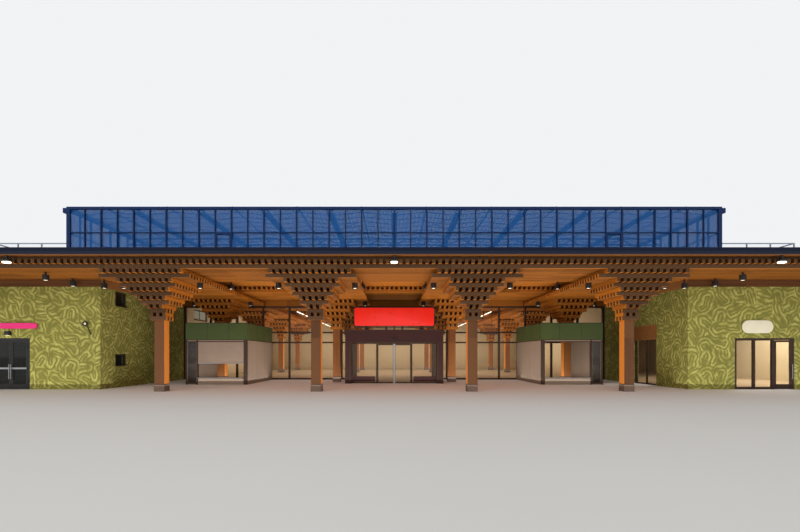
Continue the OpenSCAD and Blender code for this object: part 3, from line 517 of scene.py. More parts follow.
def outer_faces(tree, x, y):
    """1 on the walls' outer faces and 0 on those inside."""
    side = add(tree, "Math", {0: x}, operation="ABSOLUTE")[0]
    # Nearly a wall's thickness, so that the sides of openings count as outer faces
    skin = 0.97 * WALL
    tests = [add(tree, "Math", {0: value, 1: limit}, operation=test)[0] for value, limit, test in (
        (side, RECESS_X + skin, "LESS_THAN"), (y, SHOP_Y, "LESS_THAN"),
        (y, WING_Y + skin, "LESS_THAN"), (side, HALF_W - skin, "GREATER_THAN"),
        (y, REAR_Y - skin, "GREATER_THAN"))]
    # The first two hold together in the recess, and each of the others by itself
    outside = add(tree, "Math", {0: tests[0], 1: tests[1]}, operation="MULTIPLY")[0]
    for test in tests[2:]:
        outside = add(tree, "Math", {0: outside, 1: test}, operation="MAXIMUM")[0]
    return outside


def render_coat(name, ground, stroke, spacing, inside_tint):
    """Scraped mineral render, green, with a paler stencilled pattern. The eye gets groups of nested
    arches, each group turned its own way, feathery and faded in places, over a fine grit. The
    walls' inner faces have a plain coat of paint."""
    material = new_material(name)
    tree = material.node_tree
    place = add(tree, "TexCoord")["Object"]
    x, y, z = add(tree, "SeparateXYZ", {0: place})
    outside = outer_faces(tree, x, y)
    # The wall's own plane, wavy by a few centimetres
    flat = add(tree, "Math", {0: x, 1: y}, operation="ADD")[0]
    flat = add(tree, "CombineXYZ", {0: flat, 1: z})[0]
    wave = add(tree, "TexNoise", {"Vector": flat, "Scale": 3.2, "Detail": 1.0})["Color"]
    wave = add(tree, "VectorMath", {0: wave, 1: (-0.5, -0.5, -0.5)}, operation="ADD")[0]
    flat = add(tree, "VectorMath", {0: wave, 1: (0.16, 0.16, 0.0), 2: flat},
               operation="MULTIPLY_ADD")[0]
    # Groups of arches, about 0.35 m apart, each turned by its own random share of a circle
    cell = add(tree, "TexVoronoi", {"Vector": flat, "Scale": 2.9, "Randomness": 0.85},
               voronoi_dimensions="2D")
    inside = add(tree, "VectorMath", {0: flat, 1: cell["Position"]}, operation="SUBTRACT")[0]
    turn = add(tree, "SeparateColor", {0: cell["Color"]})[0]
    turn = add(tree, "Math", {0: turn, 1: math.tau}, operation="MULTIPLY")[0]
    inside = add(tree, "VectorRotate", {"Vector": inside, "Angle": turn},
                 rotation_type="Z_AXIS")[0]
    u, v, _ = add(tree, "SeparateXYZ", {0: inside})
    foot = add(tree, "Math", {0: v, 1: 0.0}, operation="MINIMUM")[0]
    arch = add(tree, "CombineXYZ", {0: u, 1: foot})[0]
    arch = add(tree, "VectorMath", {0: arch}, operation="LENGTH")["Value"]
    arch = add(tree, "Math", {0: arch, 1: math.tau / spacing}, operation="MULTIPLY")[0]
    ragged = add(tree, "TexNoise", {"Vector": flat, "Scale": 11.0, "Detail": 2.0})[0]
    arch = add(tree, "Math", {0: ragged, 1: 5.0, 2: arch}, operation="MULTIPLY_ADD")[0]
    arch = add(tree, "Math", {0: arch}, operation="SINE")[0]
    mark = add(tree, "MapRange", {"Value": arch, 1: -0.9, 2: 0.9})[0]
    faded = add(tree, "TexNoise", {"Vector": flat, "Scale": 5.5, "Detail": 1.0})[0]
    faded = add(tree, "MapRange", {"Value": faded, 1: 0.32, 2: 0.62, 3: 0.1, 4: 1.0})[0]
    for part in (faded, outside):
        mark = add(tree, "Math", {0: mark, 1: part}, operation="MULTIPLY")[0]
    grit = add(tree, "TexNoise", {"Vector": place, "Scale": 160.0, "Detail": 3.0})[0]
    stain = add(tree, "TexNoise", {"Vector": place, "Scale": 0.9, "Detail": 4.0})[0]
    under = add(tree, "ValToRGB", {0: stain}, [(0.3, darker(ground, 0.85)),
                                               (0.7, darker(ground, 1.1))])[0]
    over = add(tree, "ValToRGB", {0: stain}, [(0.3, darker(stroke, 0.86)),
                                              (0.7, darker(stroke, 1.08))])[0]
    coat = add(tree, "Mix", {"Factor": mark, 6: under, 7: over}, data_type="RGBA")[2]
    coat = add(tree, "Mix", {"Factor": outside, 6: inside_tint, 7: coat}, data_type="RGBA")[2]
    rise = add(tree, "Math", {0: mark, 1: 1.2, 2: grit}, operation="MULTIPLY_ADD")[0]
    return shaded(material, coat, rise, 0.0016, Roughness=0.86, Specular_IOR_Level=0.2)


def surface(name, tint, roughness, metallic=0.0, size=0.02, spread=0.12, depth=0.0003,
            stretch=(1.0, 1.0, 1.0), **values):
    """A plain finish that varies: noise whose grains are about size metres across, and finer ones,
    changes the colour by the spread, the roughness a little and the height by depth. stretch draws
    the grains out along an axis, as brushing or rolling does."""
    material = new_material(name)
    tree = material.node_tree
    place = add(tree, "TexCoord")["Object"]
    place = add(tree, "Mapping", {"Vector": place, "Scale": stretch})[0]
    cloud = add(tree, "TexNoise", {"Vector": place, "Scale": 1 / size, "Detail": 4.0,
                                   "Roughness": 0.6})[0]
    tone = add(tree, "ValToRGB", {0: cloud}, [(0.3, darker(tint, 1 - spread)),
                                              (0.7, darker(tint, 1 + spread))])[0]
    rough = add(tree, "MapRange", {"Value": cloud, 1: 0.3, 2: 0.7, 3: roughness * 0.88,
                                   4: min(1.0, roughness * 1.12)})[0]
    return shaded(material, tone, cloud, depth, Roughness=rough, Metallic=metallic, **values)


def make_finishes(looks):
    """Every finish of the building, by name."""
    return {
        # Oiled spruce glulam: warm and streaked; faces to the front get painted shade, dark brown
        "crossed": glulam("oiled_glulam_crossed", looks.timber, looks.front_painted_shade, "crossed"),
        "columns": glulam("oiled_glulam_columns", looks.column, looks.column_front_painted_shade, "Z"),
        "boards": glulam("oiled_spruce_boards", looks.timber, looks.front_painted_shade, "X"),
        # Pine lath: brown, nearly without figure
        "pale_wood": surface("pine_lath", linear("#66432a"), 0.7, size=0.05,
                             stretch=(0.05, 1.0, 1.0), Specular_IOR_Level=0.2),
        # Larch battens, reddish; faces to the front get painted shade, darker
        "battens": glulam("stained_larch", looks.head_timber, looks.head_front_painted_shade, "X"),
        "render": render_coat("stencilled_green_render", looks.render_ground,
                              looks.render_stroke, looks.stroke_spacing, linear("#cdb78c")),
        # Precast concrete: pale, blotched by its casting
        "precast": surface("precast_concrete", looks.concrete, 0.8, size=0.12, depth=0.001),
        # Ground and sealed screed: a soft sheen with cloudy patches
        "screed": surface("sealed_screed", linear("#a08a68"), 0.4, size=0.7, depth=0.0002),
        # Felt with mineral chippings: grey and rough
        "felt": surface("mineral_roofing_felt", linear("#6d7076"), 0.93, size=0.03, depth=0.002),
        # Folded aluminium sheet, powder coated navy and slate: smooth, a slight sheen
        "cap_sheet": surface("navy_coated_sheet", looks.edge_cap, 0.5, size=0.8, spread=0.08,
                             Specular_IOR_Level=0.15),
        "face_sheet": surface("slate_coated_sheet", looks.edge_face, 0.5, size=0.8, spread=0.08,
                              Specular_IOR_Level=0.15),
        # Profiled steel sheet, coated grey: even and dull
        "skirt": surface("grey_profiled_sheet", linear("#767d86"), 0.5, size=0.6, spread=0.07),
        # Powder coated aluminium, dark bronze: fine orange peel on bars, cloudy on sheets
        "bronze": surface("bronze_coated_aluminium", looks.bronze, 0.45, size=0.01, spread=0.1,
                          Specular_IOR_Level=0.2),
        "portal": surface("bronze_portal_sheet", looks.portal, 0.5, size=0.4, spread=0.1,
                          Specular_IOR_Level=0.2),
        # Anodised aluminium: pale, brushed upwards
        "aluminium": surface("anodised_aluminium", linear("#b9bcbf"), 0.34, 1.0, size=0.004,
                             stretch=(1.0, 1.0, 0.03)),
        # Galvanised tube: zinc spangle
        "zinc": surface("galvanised_steel", looks.rail, 0.45, 0.6, size=0.03, spread=0.15),
        # Wire coated in pale plastic: smooth, drawn 12 mm thick so that it shows
        "wire": surface("pale_coated_wire", linear("#dfe6ee"), 0.4, size=0.05, spread=0.05),
        # Steel sections, satin and slightly uneven; their dark blue is painted blue evening light
        "steel": surface("slate_blue_painted_steel", looks.greenhouse, 0.5, size=0.3, spread=0.1,
                         Specular_IOR_Level=0.2),
        # Float glass: nearly clear, faintly grey-green, mirror smooth
        "glass": surface("clear_float_glass", linear("#2a332f"), 0.03, size=2.0, spread=0.03,
                         depth=0.0, Alpha=0.16),
        # Float glass made grey and half opaque: painted shade of the dark room behind it, so the
        # eye sees little through it
        "dark_glass": surface("grey_float_glass", linear("#101312"), 0.03, size=2.0, spread=0.03,
                              depth=0.0, Alpha=0.55),
        # Float glass tinted blue and half opaque: its blue is a painted reflection of the sky, so
        # the eye sees the sky's blue more than what is behind it
        "blue_glass": surface("greenhouse_glass", looks.greenhouse_glass, 0.06, size=1.5,
                              spread=0.06, depth=0.0, Alpha=0.5, Specular_IOR_Level=0.2),
        # Satin painted sheet on the pavilions' fascias: dark olive green
        "fascia": surface("olive_painted_sheet", looks.fascia, 0.5, size=0.5, spread=0.1,
                          Specular_IOR_Level=0.3),
        # High-pressure laminate: warm beige with a faint cloud
        "laminate": surface("beige_laminate", looks.laminate, 0.45, size=0.25, spread=0.06),
        # Woven screen cloth, pale, drawn down behind a window
        "blind": surface("pale_screen_cloth", linear("#c4c8b6"), 0.8, size=0.01, spread=0.05),
        # Matt black cast aluminium
        "black": surface("matt_black_aluminium", linear("#1c1b1b"), 0.55, size=0.006, spread=0.2),
        # Opal acrylic lit from behind: even and glowing
        "lit_red": surface("lit_red_acrylic", looks.sign, 0.3, size=0.4, spread=0.04,
                           Emission_Color=looks.sign, Emission_Strength=0.32),
        "lit_pink": surface("lit_pink_acrylic", linear("#b01858"), 0.3, size=0.4, spread=0.04,
                            Emission_Color=linear("#d0206c"), Emission_Strength=0.32),
        # Frosted glass before a lamp: warm white and glowing
        "lens": surface("frosted_lamp_lens", linear("#fff4e0"), 0.4, size=0.1, spread=0.02,
                        Emission_Color=linear("#fff1d8"), Emission_Strength=2.2),
        # Aluminium plate with silver paint: pale and dull
        "dial": surface("silver_painted_plate", linear("#c7bfa6"), 0.5, size=0.2, spread=0.05),
    }


# The finish of each CAD solid that stays in view
FINISH_OF_NODE = {
    "crossed": ["line_ties", "line_beams", "row_beams", "row_ties"],
    "columns": ["front_columns", "inner_columns"],
    "boards": ["shopfront_header"],
    "render": ["left_front_wall_inner", "left_front_wall_outer", "left_door_lintel",
               "right_front_wall_inner", "right_front_wall_outer", "right_door_lintel",
               "left_return_wall", "right_return_wall", "left_side_wall", "right_side_wall",
               "rear_wall"],
    "precast": ["column_plinths"],
    "screed": ["ground_floor"],
    "felt": ["roof_deck"],
    "skirt": ["upper_deck"],
    "bronze": ["shopfront_frame", "entrance_screen"],
    "black": ["left_door_frame"],
    "portal": ["entrance_portal"],
    "zinc": ["guard_rails"],
    "steel": ["greenhouse_front_frame", "greenhouse_rear_frame", "greenhouse_side_frames",
              "greenhouse_girders"],
    "glass": ["window_glass", "shopfront_glass", "entrance_glass"],
    "blue_glass": ["greenhouse_wall_glass"],
    "laminate": ["left_kiosk_walls", "right_kiosk_walls"],
    "fascia": ["left_kiosk_fascia", "right_kiosk_fascia"],
}


class HallTimber(bpy.types.PropertyGroup):
    """Sizes of the timber pieces."""
    beam_cut: length("Beam chamfer", "Chamfer along the edges of the beams", 0.004)
    beam_gap: length("Shadow gap", "Gap between the stacked layers", 0.002)
    board_gap: length("Board gap", "Joint between two ceiling boards", 0.011)
    boards_per_pitch: bpy.props.IntProperty(
        name="Boards", description="Ceiling boards in one beam spacing", default=2, min=1, max=4)


class HallLooks(bpy.types.PropertyGroup):
    """Colours of the finishes."""
    timber: colour("Timber", "Oiled glulam", "#a35e14")
    # Painted shade: the tint of glulam faces to the front
    front_painted_shade: colour("Weather side", "Glulam on the faces to the front", "#4a3421")
    column: colour("Columns", "Glulam of the columns", "#c07024")
    # Painted shade: the tint of the columns' faces to the front
    column_front_painted_shade: colour("Columns' front", "Glulam on the columns' fronts", "#583820")
    head_timber: colour("Wall heads", "Stained larch over the walls", "#8a5a30")
    # Painted shade: the tint of the wall heads' faces to the front
    head_front_painted_shade: colour("Wall heads' front", "Stained larch on the faces to the front", "#56341a")
    render_ground: colour("Render", "Ground of the green render", "#6b682f")
    render_stroke: colour("Strokes", "Paler strokes on the render", "#a09a54")
    stroke_spacing: length("Stroke spacing", "Distance between two strokes of the render", 0.095)
    concrete: colour("Concrete", "Precast plinths", "#6a5648")
    edge_cap: colour("Roof cap", "Cap of the roof edge", "#0b1023")
    edge_face: colour("Roof edge", "Sheet under the cap", "#161d2c")
    bronze: colour("Bronze", "Coated glazing bars", "#35261d")
    portal: colour("Portal", "Sheets of the entrance portal", "#331c1a")
    rail: colour("Rails", "Galvanised guard rails", "#9aa3b4")
    # The greenhouse steel's dark blue is painted blue evening light
    greenhouse: colour("Greenhouse", "Painted steel of the greenhouse", "#132b56")
    # The greenhouse glass's blue tint is a painted reflection of the sky
    greenhouse_glass: colour("Greenhouse glass", "Tint of the greenhouse's glass", "#2065ae")
    fascia: colour("Pavilion fascias", "Painted sheet", "#37431f")
    laminate: colour("Laminate", "Panels of the pavilions", "#7a6858")
    sign: colour("Sign", "Lit panel over the entrance", "#c41c12")


class HallStage(bpy.types.PropertyGroup):
    """Floor, light and camera."""
    floor: colour("Floor", "Plain pale floor", "#dcdad6")
    sky: bpy.props.FloatProperty(name="Sky", description="Strength of the world's light",
                                 default=0.55, min=0)
    lens: bpy.props.FloatProperty(name="Lens", description="Focal length", default=19.76,
                                  unit="CAMERA", min=1)
    eye_height: length("Eye height", "Height of the camera", 0.82)
    distance: length("Distance", "From the camera to the middle of the plan", 17.4425)


# Each soft lamp's place, the point it looks at, its width and height, and its power in watts
STUDIO = {
    "front_light": ((-8, -34, 12), (0, -6, 1), (26, 12), 3000),
    "low_front_light": ((0, -26, 1.6), (0, -4, 1.4), (36, 3), 1250),
    "soffit_light": ((0, -9.0, 0.12), (0, -9.0, 3), (24, 5), 560),
    "recess_light": ((0, -4.8, 0.1), (0, -4.8, 3), (11, 3), 320),
    "hall_light_up": ((0, 2.6, 0.1), (0, 2.6, 3), (12, 8), 560),
    "hall_light_down": ((0, 2.6, 2.4), (0, 2.6, 0), (12, 8), 680),
    "right_room_light": ((10.6, -4.4, 2.4), (10.6, -4.4, 0), (2.6, 3), 250),
    "rear_light": ((6, 34, 14), (0, 6, 1), (26, 12), 2300),
}
# The camera looks level; the shift brings the photograph's horizon to its height
CAMERA_SHIFT = (0.0072, 0.1113)
SENSOR_WIDTH = 36
FLOOR_REACH = 150.0


class HALL_OT_stage(bpy.types.Operator):
    """Lay the floor, light the hall softly and set the camera where the photographer stood"""
    bl_idname = "hall.stage"
    bl_label = "Floor, light and camera"

    def lay_floor(self, scene):
        """A plain floor under the part, as good as endless and with a faint mottle."""
        tint = scene.hall_stage.floor
        material = new_material("plain_floor")
        tree = material.node_tree
        speck = add(tree, "TexNoise", {"Vector": add(tree, "TexCoord")["Object"], "Scale": 0.4})[0]
        pale = add(tree, "ValToRGB", {0: speck}, [(0.3, darker(tint, 0.98)), (0.7, tint)])[0]
        r = FLOOR_REACH
        mesh = bpy.data.meshes.new("floor")
        mesh.from_pydata([(-r, -r, 0), (r, -r, 0), (r, r, 0), (-r, r, 0)], [], [(0, 1, 2, 3)])
        mesh.materials.append(shaded(material, pale, Roughness=0.9))
        floor = bpy.data.objects.new("floor", mesh)
        scene.collection.objects.link(floor)

    def light_world(self, scene):
        """The world lights the part at the sky's strength, and is a plain pale background where the
        camera, a reflection or a view through glass meets it."""
        world = bpy.data.worlds.new("studio")
        scene.world = world
        world.use_nodes = True
        tree = world.node_tree
        tree.nodes.clear()
        ray = add(tree, "LightPath")
        seen = ray["Is Camera Ray"]
        for kind in ("Is Glossy Ray", "Is Transmission Ray"):
            seen = add(tree, "Math", {0: seen, 1: ray[kind]}, operation="MAXIMUM")[0]
        fill = add(tree, "Background", {"Color": (1, 1, 1, 1),
                                        "Strength": scene.hall_stage.sky})[0]
        back = add(tree, "Background", {"Color": linear("#f1f3f5"), "Strength": 1.0})[0]
        mixed = add(tree, "MixShader", {0: seen, 1: fill, 2: back})[0]
        add(tree, "OutputWorld", {"Surface": mixed})

    def hang_lamp(self, scene, name, place, aim, size, watts):
        """A soft area lamp of that width and height which isn't seen itself."""
        light = bpy.data.lights.new(name, "AREA")
        light.shape, light.size, light.size_y, light.energy = "RECTANGLE", *size, watts
        lamp = bpy.data.objects.new(name, light)
        scene.collection.objects.link(lamp)
        lamp.location = place
        away = np.array(place, float) - np.array(aim, float)
        flat = math.hypot(away[0], away[1])
        turn = math.atan2(away[0], -away[1]) if flat > 1e-6 else 0.0
        lamp.rotation_euler = (math.atan2(flat, away[2]), 0, turn)
        lamp.visible_camera = lamp.visible_glossy = lamp.visible_transmission = False

    def execute(self, context):
        scene = context.scene
        self.lay_floor(scene)
        self.light_world(scene)
        for name, settings in STUDIO.items():
            self.hang_lamp(scene, name, *settings)
        look = scene.hall_stage
        camera = bpy.data.cameras.new("camera")
        camera.sensor_width = SENSOR_WIDTH
        camera.lens = look.lens
        camera.shift_x, camera.shift_y = CAMERA_SHIFT
        eye = bpy.data.objects.new("camera", camera)
        scene.collection.objects.link(eye)
        eye.location = (0, -look.distance, look.eye_height)
        eye.rotation_euler = (math.pi / 2, 0, 0)
        scene.camera = eye
        scene.view_settings.view_transform = "Standard"
        return {"FINISHED"}


class HALL_OT_finishes(bpy.types.Operator):
    """Make the finishes and put them on the CAD solids that stay in view"""
    bl_idname = "hall.finishes"
    bl_label = "Finishes"

    def execute(self, context):
        FINISHES.update(make_finishes(context.scene.hall_looks))
        for finish, nodes in FINISH_OF_NODE.items():
            for node in nodes:
                for slot in frame["nodes"][node].material_slots:
                    slot.material = FINISHES[finish]
        return {"FINISHED"}


def capital_beams(x, y, timber):
    """One capital's beams. Layers run along X and along Y in turns, and each pair of layers reaches
    one pitch further out, from the third pair on. Beams along Y also reach on under the outermost
    beam of the next pair."""
    parts = []
    for n in range(CAPITAL_LAYERS):
        along_y = n % 2
        reach = max(1, n // 2)
        half = (max(1, (n + along_y) // 2) + END_REACH) * PITCH
        ends = np.zeros((2, 2 * reach + 1, 3)) + (x, y, CAPITAL_Z + (n + 0.5) * LAYER)
        ends[..., 1 - along_y] += np.arange(-reach, reach + 1) * PITCH
        ends[..., along_y] += [[-half], [half]]
        parts.append(bars(*ends, BEAM, LAYER - timber.beam_gap, cut=timber.beam_cut,
                          end_cut=timber.beam_cut))
    return parts


class HALL_OT_capitals(bpy.types.Operator):
    """Stack the capitals beam by beam"""
    bl_idname = "hall.capitals"
    bl_label = "Capitals"

    def execute(self, context):
        for name, rows, slot, nodes in (
                ("front", ROWS[:1], "shaded_timber", [f"front_capital_{i}" for i in range(1, 5)]),
                ("second", ROWS[1:2], "lit_timber", [f"second_capital_{i}" for i in range(1, 5)]),
                ("hall", ROWS[2:], "lit_timber", ["hall_capitals"])):
            parts = [beams for x in LINES for y in rows
                     for beams in capital_beams(x, y, context.scene.hall_timber)]
            piece(f"{name}_capital_timbers", parts, "crossed", slot, replaces=nodes)
        return {"FINISHED"}


def short_beams(x, y, z, reach, timber):
    """Beams over each crossing of the lines x and y, from -reach to reach around it, in the layer
    whose foot is at z."""
    middle = np.stack([grid.ravel() for grid in np.meshgrid(x, y, [z + LAYER / 2])], 1)
    return bars(middle - reach, middle + reach, BEAM, LAYER - timber.beam_gap, cut=timber.beam_cut)


class HALL_OT_ceiling(bpy.types.Operator):
    """Lay the ceiling boards, the hall's short beams and the timbers over the walls"""
    bl_idname = "hall.ceiling"
    bl_label = "Ceiling and wall heads"

    def execute(self, context):
        timber = context.scene.hall_timber
        x0, x1, y0, y1, z0, z1 = sides("ceiling_boards")
        step = PITCH / timber.boards_per_pitch
        y = np.arange(y0 + step / 2, y1, step)
        y = y[y + step / 2 <= y1 + 1e-6]
        start, end = (np.stack(np.broadcast_arrays(x, y, (z0 + z1) / 2), 1) for x in (x0, x1))
        piece("ceiling_planks", bars(start, end, step - timber.board_gap, z1 - z0,
                                     cut=timber.beam_cut), "crossed", replaces=["ceiling_boards"])

        # The source has the short beams up to the shopfront and over the first two rows. The
        # hall's follow here, on the same grid
        first = round((SHOP_Y + 0.2 - ROW_Y) / PITCH)
        last = int((INNER_REAR - ROW_Y) / PITCH - 0.5)
        behind_shopfront = ROW_Y + np.arange(first, last + 1) * PITCH
        piece("hall_line_ties", short_beams(LINES, behind_shopfront, TIE_Z, (TIE_HALF, 0, 0),
                                            timber), "crossed")
        count = int((RECESS_X - BEAM / 2) / PITCH)
        piece("hall_row_ties", short_beams(np.arange(-count, count + 1) * PITCH, ROWS[2:],
                                           ROW_TIE_Z, (0, ROW_TIE_HALF, 0), timber), "crossed")

        # Courses of boards with open joints: two over the wings' walls, of which the upper stands
        # further out, and three in the recess
        joint, step = 0.004, 0.012
        _, x1, y0, y1, z0, z1 = sides("wall_head_beams")
        course = (z1 - z0) / 2
        parts = []
        for k in range(2):
            parts += boxes(both(RECESS_X, x1, y0 - step * k, y1, z0 + k * course,
                                z0 + k * course + course - joint), 0.006)
        piece("wall_head_timbers", parts, "battens", replaces=["wall_head_beams"])
        course = (BOARD_Z - z0) / 3
        boards = [b for k in range(3) for b in
                  both(RECESS_X - 0.014, RECESS_X + LAP, y0, SHOP_Y, z0 + k * course,
                       z0 + (k + 1) * course - joint)]
        piece("return_head_boards", boxes(boards, 0.004), "battens")
        return {"FINISHED"}


class HALL_OT_roof_edge(bpy.types.Operator):
    """Fold the roof edge's cap and face, and lay the lath, the eave boards and the roof's seams"""
    bl_idname = "hall.roof_edge"
    bl_label = "Roof edge"

    def execute(self, context):
        x0, x1, y0, y1, z0, z1 = sides("roof_fascia")
        plan = ((x0, y0), (x1, y1))
        cap = [(0, z1 - 0.062), (0, z1 - 0.004), (0.004, z1), (0.056, z1 - 0.006),
               (0.058, z1 - 0.010), (0.058, z1 - 0.05), (0.053, z1 - 0.05), (0.053, z1 - 0.013),
               (0.006, z1 - 0.008), (0.006, z1 - 0.062)]
        piece("roof_edge_cap", round_rectangle(cap, *plan), "cap_sheet", replaces=["roof_fascia"])
        face = section(0.010, 0.045, z0 + 0.002, z1 - 0.014, 0.004)
        piece("roof_edge_face", round_rectangle(face, *plan), "face_sheet")
        lath = section(0.014, 0.05, z0 - 0.02, z0 + 0.001)
        piece("roof_edge_lath", round_rectangle(lath, *plan), "pale_wood")
        # The sheets of the edge and the felt are joined every 1.5 m
        joints = np.arange(-8, 9) * 1.5
        straps = [((x - 0.02, near, z1 - 0.061), (x + 0.02, far, z1 - 0.0005))
                  for near, far in ((y0 + 0.0005, y0 + 0.058), (y1 - 0.058, y1 - 0.0005))
                  for x in joints]
        piece("roof_edge_joints", boxes(straps, 0.002), "cap_sheet")
        boards = [round_rectangle(section(0.052 + k * 0.06, 0.108 + k * 0.06, z0 - 0.003,
                                          z0 + 0.009), *plan) for k in range(3)]
        piece("eave_boards", boards, "boards")
        deck_z, front = high("roof_deck")[2], low("upper_deck")[1]
        seams = [((x - 0.03, y0 + 0.06, deck_z), (x + 0.03, front, deck_z + 0.004)) for x in joints]
        piece("roof_felt_seams", boxes(seams, 0.0015), "felt")
        return {"FINISHED"}


def window_trims(lowest, highest, thin, width=0.035):
    """A casement's frame round one pane, which is thin along that axis, and its sill. The frame
    stands in the middle of the wall, with a bar in the middle of a wide one, and the sill stands a
    little out of both faces of the wall."""
    flat = 1 - thin
    middle = (lowest[thin] + highest[thin]) / 2
    parts = [round_rectangle(section(0.0, width, middle - 0.03, middle + 0.03),
                             (lowest[flat], lowest[2]), (highest[flat], highest[2]),
                             "xz" if thin else "yz")]
    if highest[flat] - lowest[flat] > 0.8:
        bar = np.array([lowest, highest])
        bar[:, flat] = bar[:, flat].mean() + np.array([-0.012, 0.012])
        bar[:, thin] = middle + np.array([-0.025, 0.025])
        bar[:, 2] += [width * 0.8, -width * 0.8]
        parts += boxes([bar])
    sill = np.array([lowest, highest])
    sill[:, thin] = middle + (WALL / 2 + 0.015) * np.array([-1, 1])
    sill[:, 2] = lowest[2] - 0.004, lowest[2] + 0.008
    return parts, boxes([sill])


# A pane whose foot is lower than this stands on the floor, and has no sill
SILL_Z = 0.1


class HALL_OT_windows(bpy.types.Operator):
    """Frame the windows, sill them, and board the head of the right return wall's opening"""
    bl_idname = "hall.windows"
    bl_label = "Windows"

    def execute(self, context):
        panes = solids_of("window_glass")
        frames, sills = [], []
        for lowest, highest in panes:
            trim, sill = window_trims(lowest, highest, int((highest - lowest).argmin()))
            frames += trim
            if lowest[2] > SILL_Z:
                sills += sill
        piece("window_frames", frames, "bronze")
        piece("window_sills", sills, "aluminium")
        # The pane that stands on the floor has boards over its head
        (_, y0, _), (_, y1, _) = next(p for p in panes if p[0][2] < SILL_Z)
        boards = [((RECESS_X - 0.012, y0 - 0.02, z), (RECESS_X + 0.04, y1 + 0.02, z + 0.075))
                  for z in np.arange(1.24, 1.56, 0.08)]
        piece("opening_head_boards", boxes(boards, 0.004), "battens")
        # The window behind the shopfront has a blind, with a rail at its foot
        (_, y0, z0), (x, y1, z1) = next(
            p for p in panes if abs(p[0][0]) < RECESS_X + WALL and p[1][1] > SHOP_Y)
        y0, y1 = y0 + 0.036, y1 - 0.036
        cloth = ((x + 0.004, y0, z0 + 0.06), (x + 0.008, y1, z1 - 0.036))
        rail = ((x + 0.002, y0, z0 + 0.05), (x + 0.012, y1, z0 + 0.064))
        piece("hall_window_blind", boxes([cloth, rail]), "blind")
        return {"FINISHED"}


class HALL_OT_fittings(bpy.types.Operator):
    """Fix the wall lamp, the lamp over the left door and the plain plates to the wings' fronts"""
    bl_idname = "hall.fittings"
    bl_label = "Wall fittings"

    def execute(self, context):
        face, into = WING_Y, WING_Y + LAP
        # The wall lamp: a round shade on a stem, and a slanting arm down to a foot on the wall
        x, z = -7.34, 1.565
        centre, foot_x, foot_z = (x, face - 0.02, z), x + 0.1, z - 0.24
        shade = [(0.024, 0.0), (0.042, -0.012), (0.056, -0.03), (0.062, -0.052), (0.059, -0.062),
                 (0.05, -0.057), (0.028, -0.045)]
        lamp = [turned(shade, centre, axis=1),
                rods((x, face - 0.03, z), (x, into, z), 0.012),
                rods((foot_x, face - 0.02, foot_z), (x + 0.01, face - 0.04, z - 0.02), 0.009),
                rods((foot_x, into, foot_z), (foot_x, face - 0.024, foot_z), 0.014)]
        piece("wall_lamp", lamp, "black", rounded=True)
        lens = [(0.01, -0.062), (0.02, -0.060), (0.028, -0.054), (0.028, -0.044)]
        piece("wall_lamp_lens", turned(lens, centre, axis=1), "dial", "lamp_black", rounded=True)
        piece("door_lamp", soft_slab((-9.25, face - 0.09, 1.29), (-9.14, into, 1.39), 0.012,
                                     0.008), "black", rounded=True)
        piece("door_lamp_lens", soft_slab((-9.235, face - 0.08, 1.289),
                                          (-9.155, face - 0.01, 1.294), 0.004, 0.001, axis=2),
              "lens")
        for wing, shape, (x0, x1, z0, z1), out, corner, edge, finish, studs in (
                ("left", "bar", (-9.42, -8.51, 1.45, 1.585), 0.045, 0.06, 0.012, "lit_pink",
                 [(-9.2, 1.517), (-8.73, 1.517)]),
                ("right", "plate", (8.285, 9.03, 1.34, 1.65), 0.04, 0.15, 0.010, "dial",
                 [(8.45, 1.5), (8.86, 1.5)])):
            piece(f"{wing}_wing_plain_{shape}",
                  soft_slab((x0, face - out, z0), (x1, face - 0.012, z1), corner, edge), finish,
                  rounded=True)
            piece(f"{wing}_wing_{shape}_studs",
                  [rods((x, face - 0.02, z), (x, into, z), 0.01) for x, z in studs], "aluminium",
                  rounded=True)
        return {"FINISHED"}


def leaf_parts(lowest, highest, stile):
    """A glazed leaf: a frame of mitred sections with a bead inside it, and its pane."""
    (x0, y0, z0), (x1, y1, z1) = lowest, highest
    plan = ((x0, z0), (x1, z1), "xz")
    middle, sight = (y0 + y1) / 2, stile - LAP
    rim = round_rectangle(section(0, stile, y0, y1), *plan)
    bead = round_rectangle(section(sight, stile + 0.006, middle - 0.011, middle + 0.011, 0.002),
                           *plan)
    pane = boxes([((x0 + sight, middle - 0.004, z0 + sight),
                   (x1 - sight, middle + 0.004, z1 - sight))], 0.001)
    return [rim, bead], pane


def pull_handle(x, y, z0, z1, reach=0.035):
    """A vertical round bar on two stand-offs, ahead of the leaf's face at y."""
    ends = [rods((x, y + 0.001, z), (x, y - reach, z), 0.006) for z in (z0 + 0.03, z1 - 0.03)]
    return [rods((x, y - reach, z0), (x, y - reach, z1), 0.009, 12)] + ends


# Hinge barrels stand one over the other, this far apart
KNUCKLE = 0.0403


def knuckles(x, y, side, heights):
    """Hinge barrels on the hinge line, each with a lug back to the face of what carries it."""
    parts = []
    for z in heights:
        parts.append(rods((x, y, z + 0.0005), (x, y, z + 0.0395), 0.0072, 14))
        parts += boxes([sorted_corner((x, y - 0.002, z + 0.002),
                                      (x + side * 0.024, WING_Y + LAP, z + 0.038))], 0.001)
    return parts


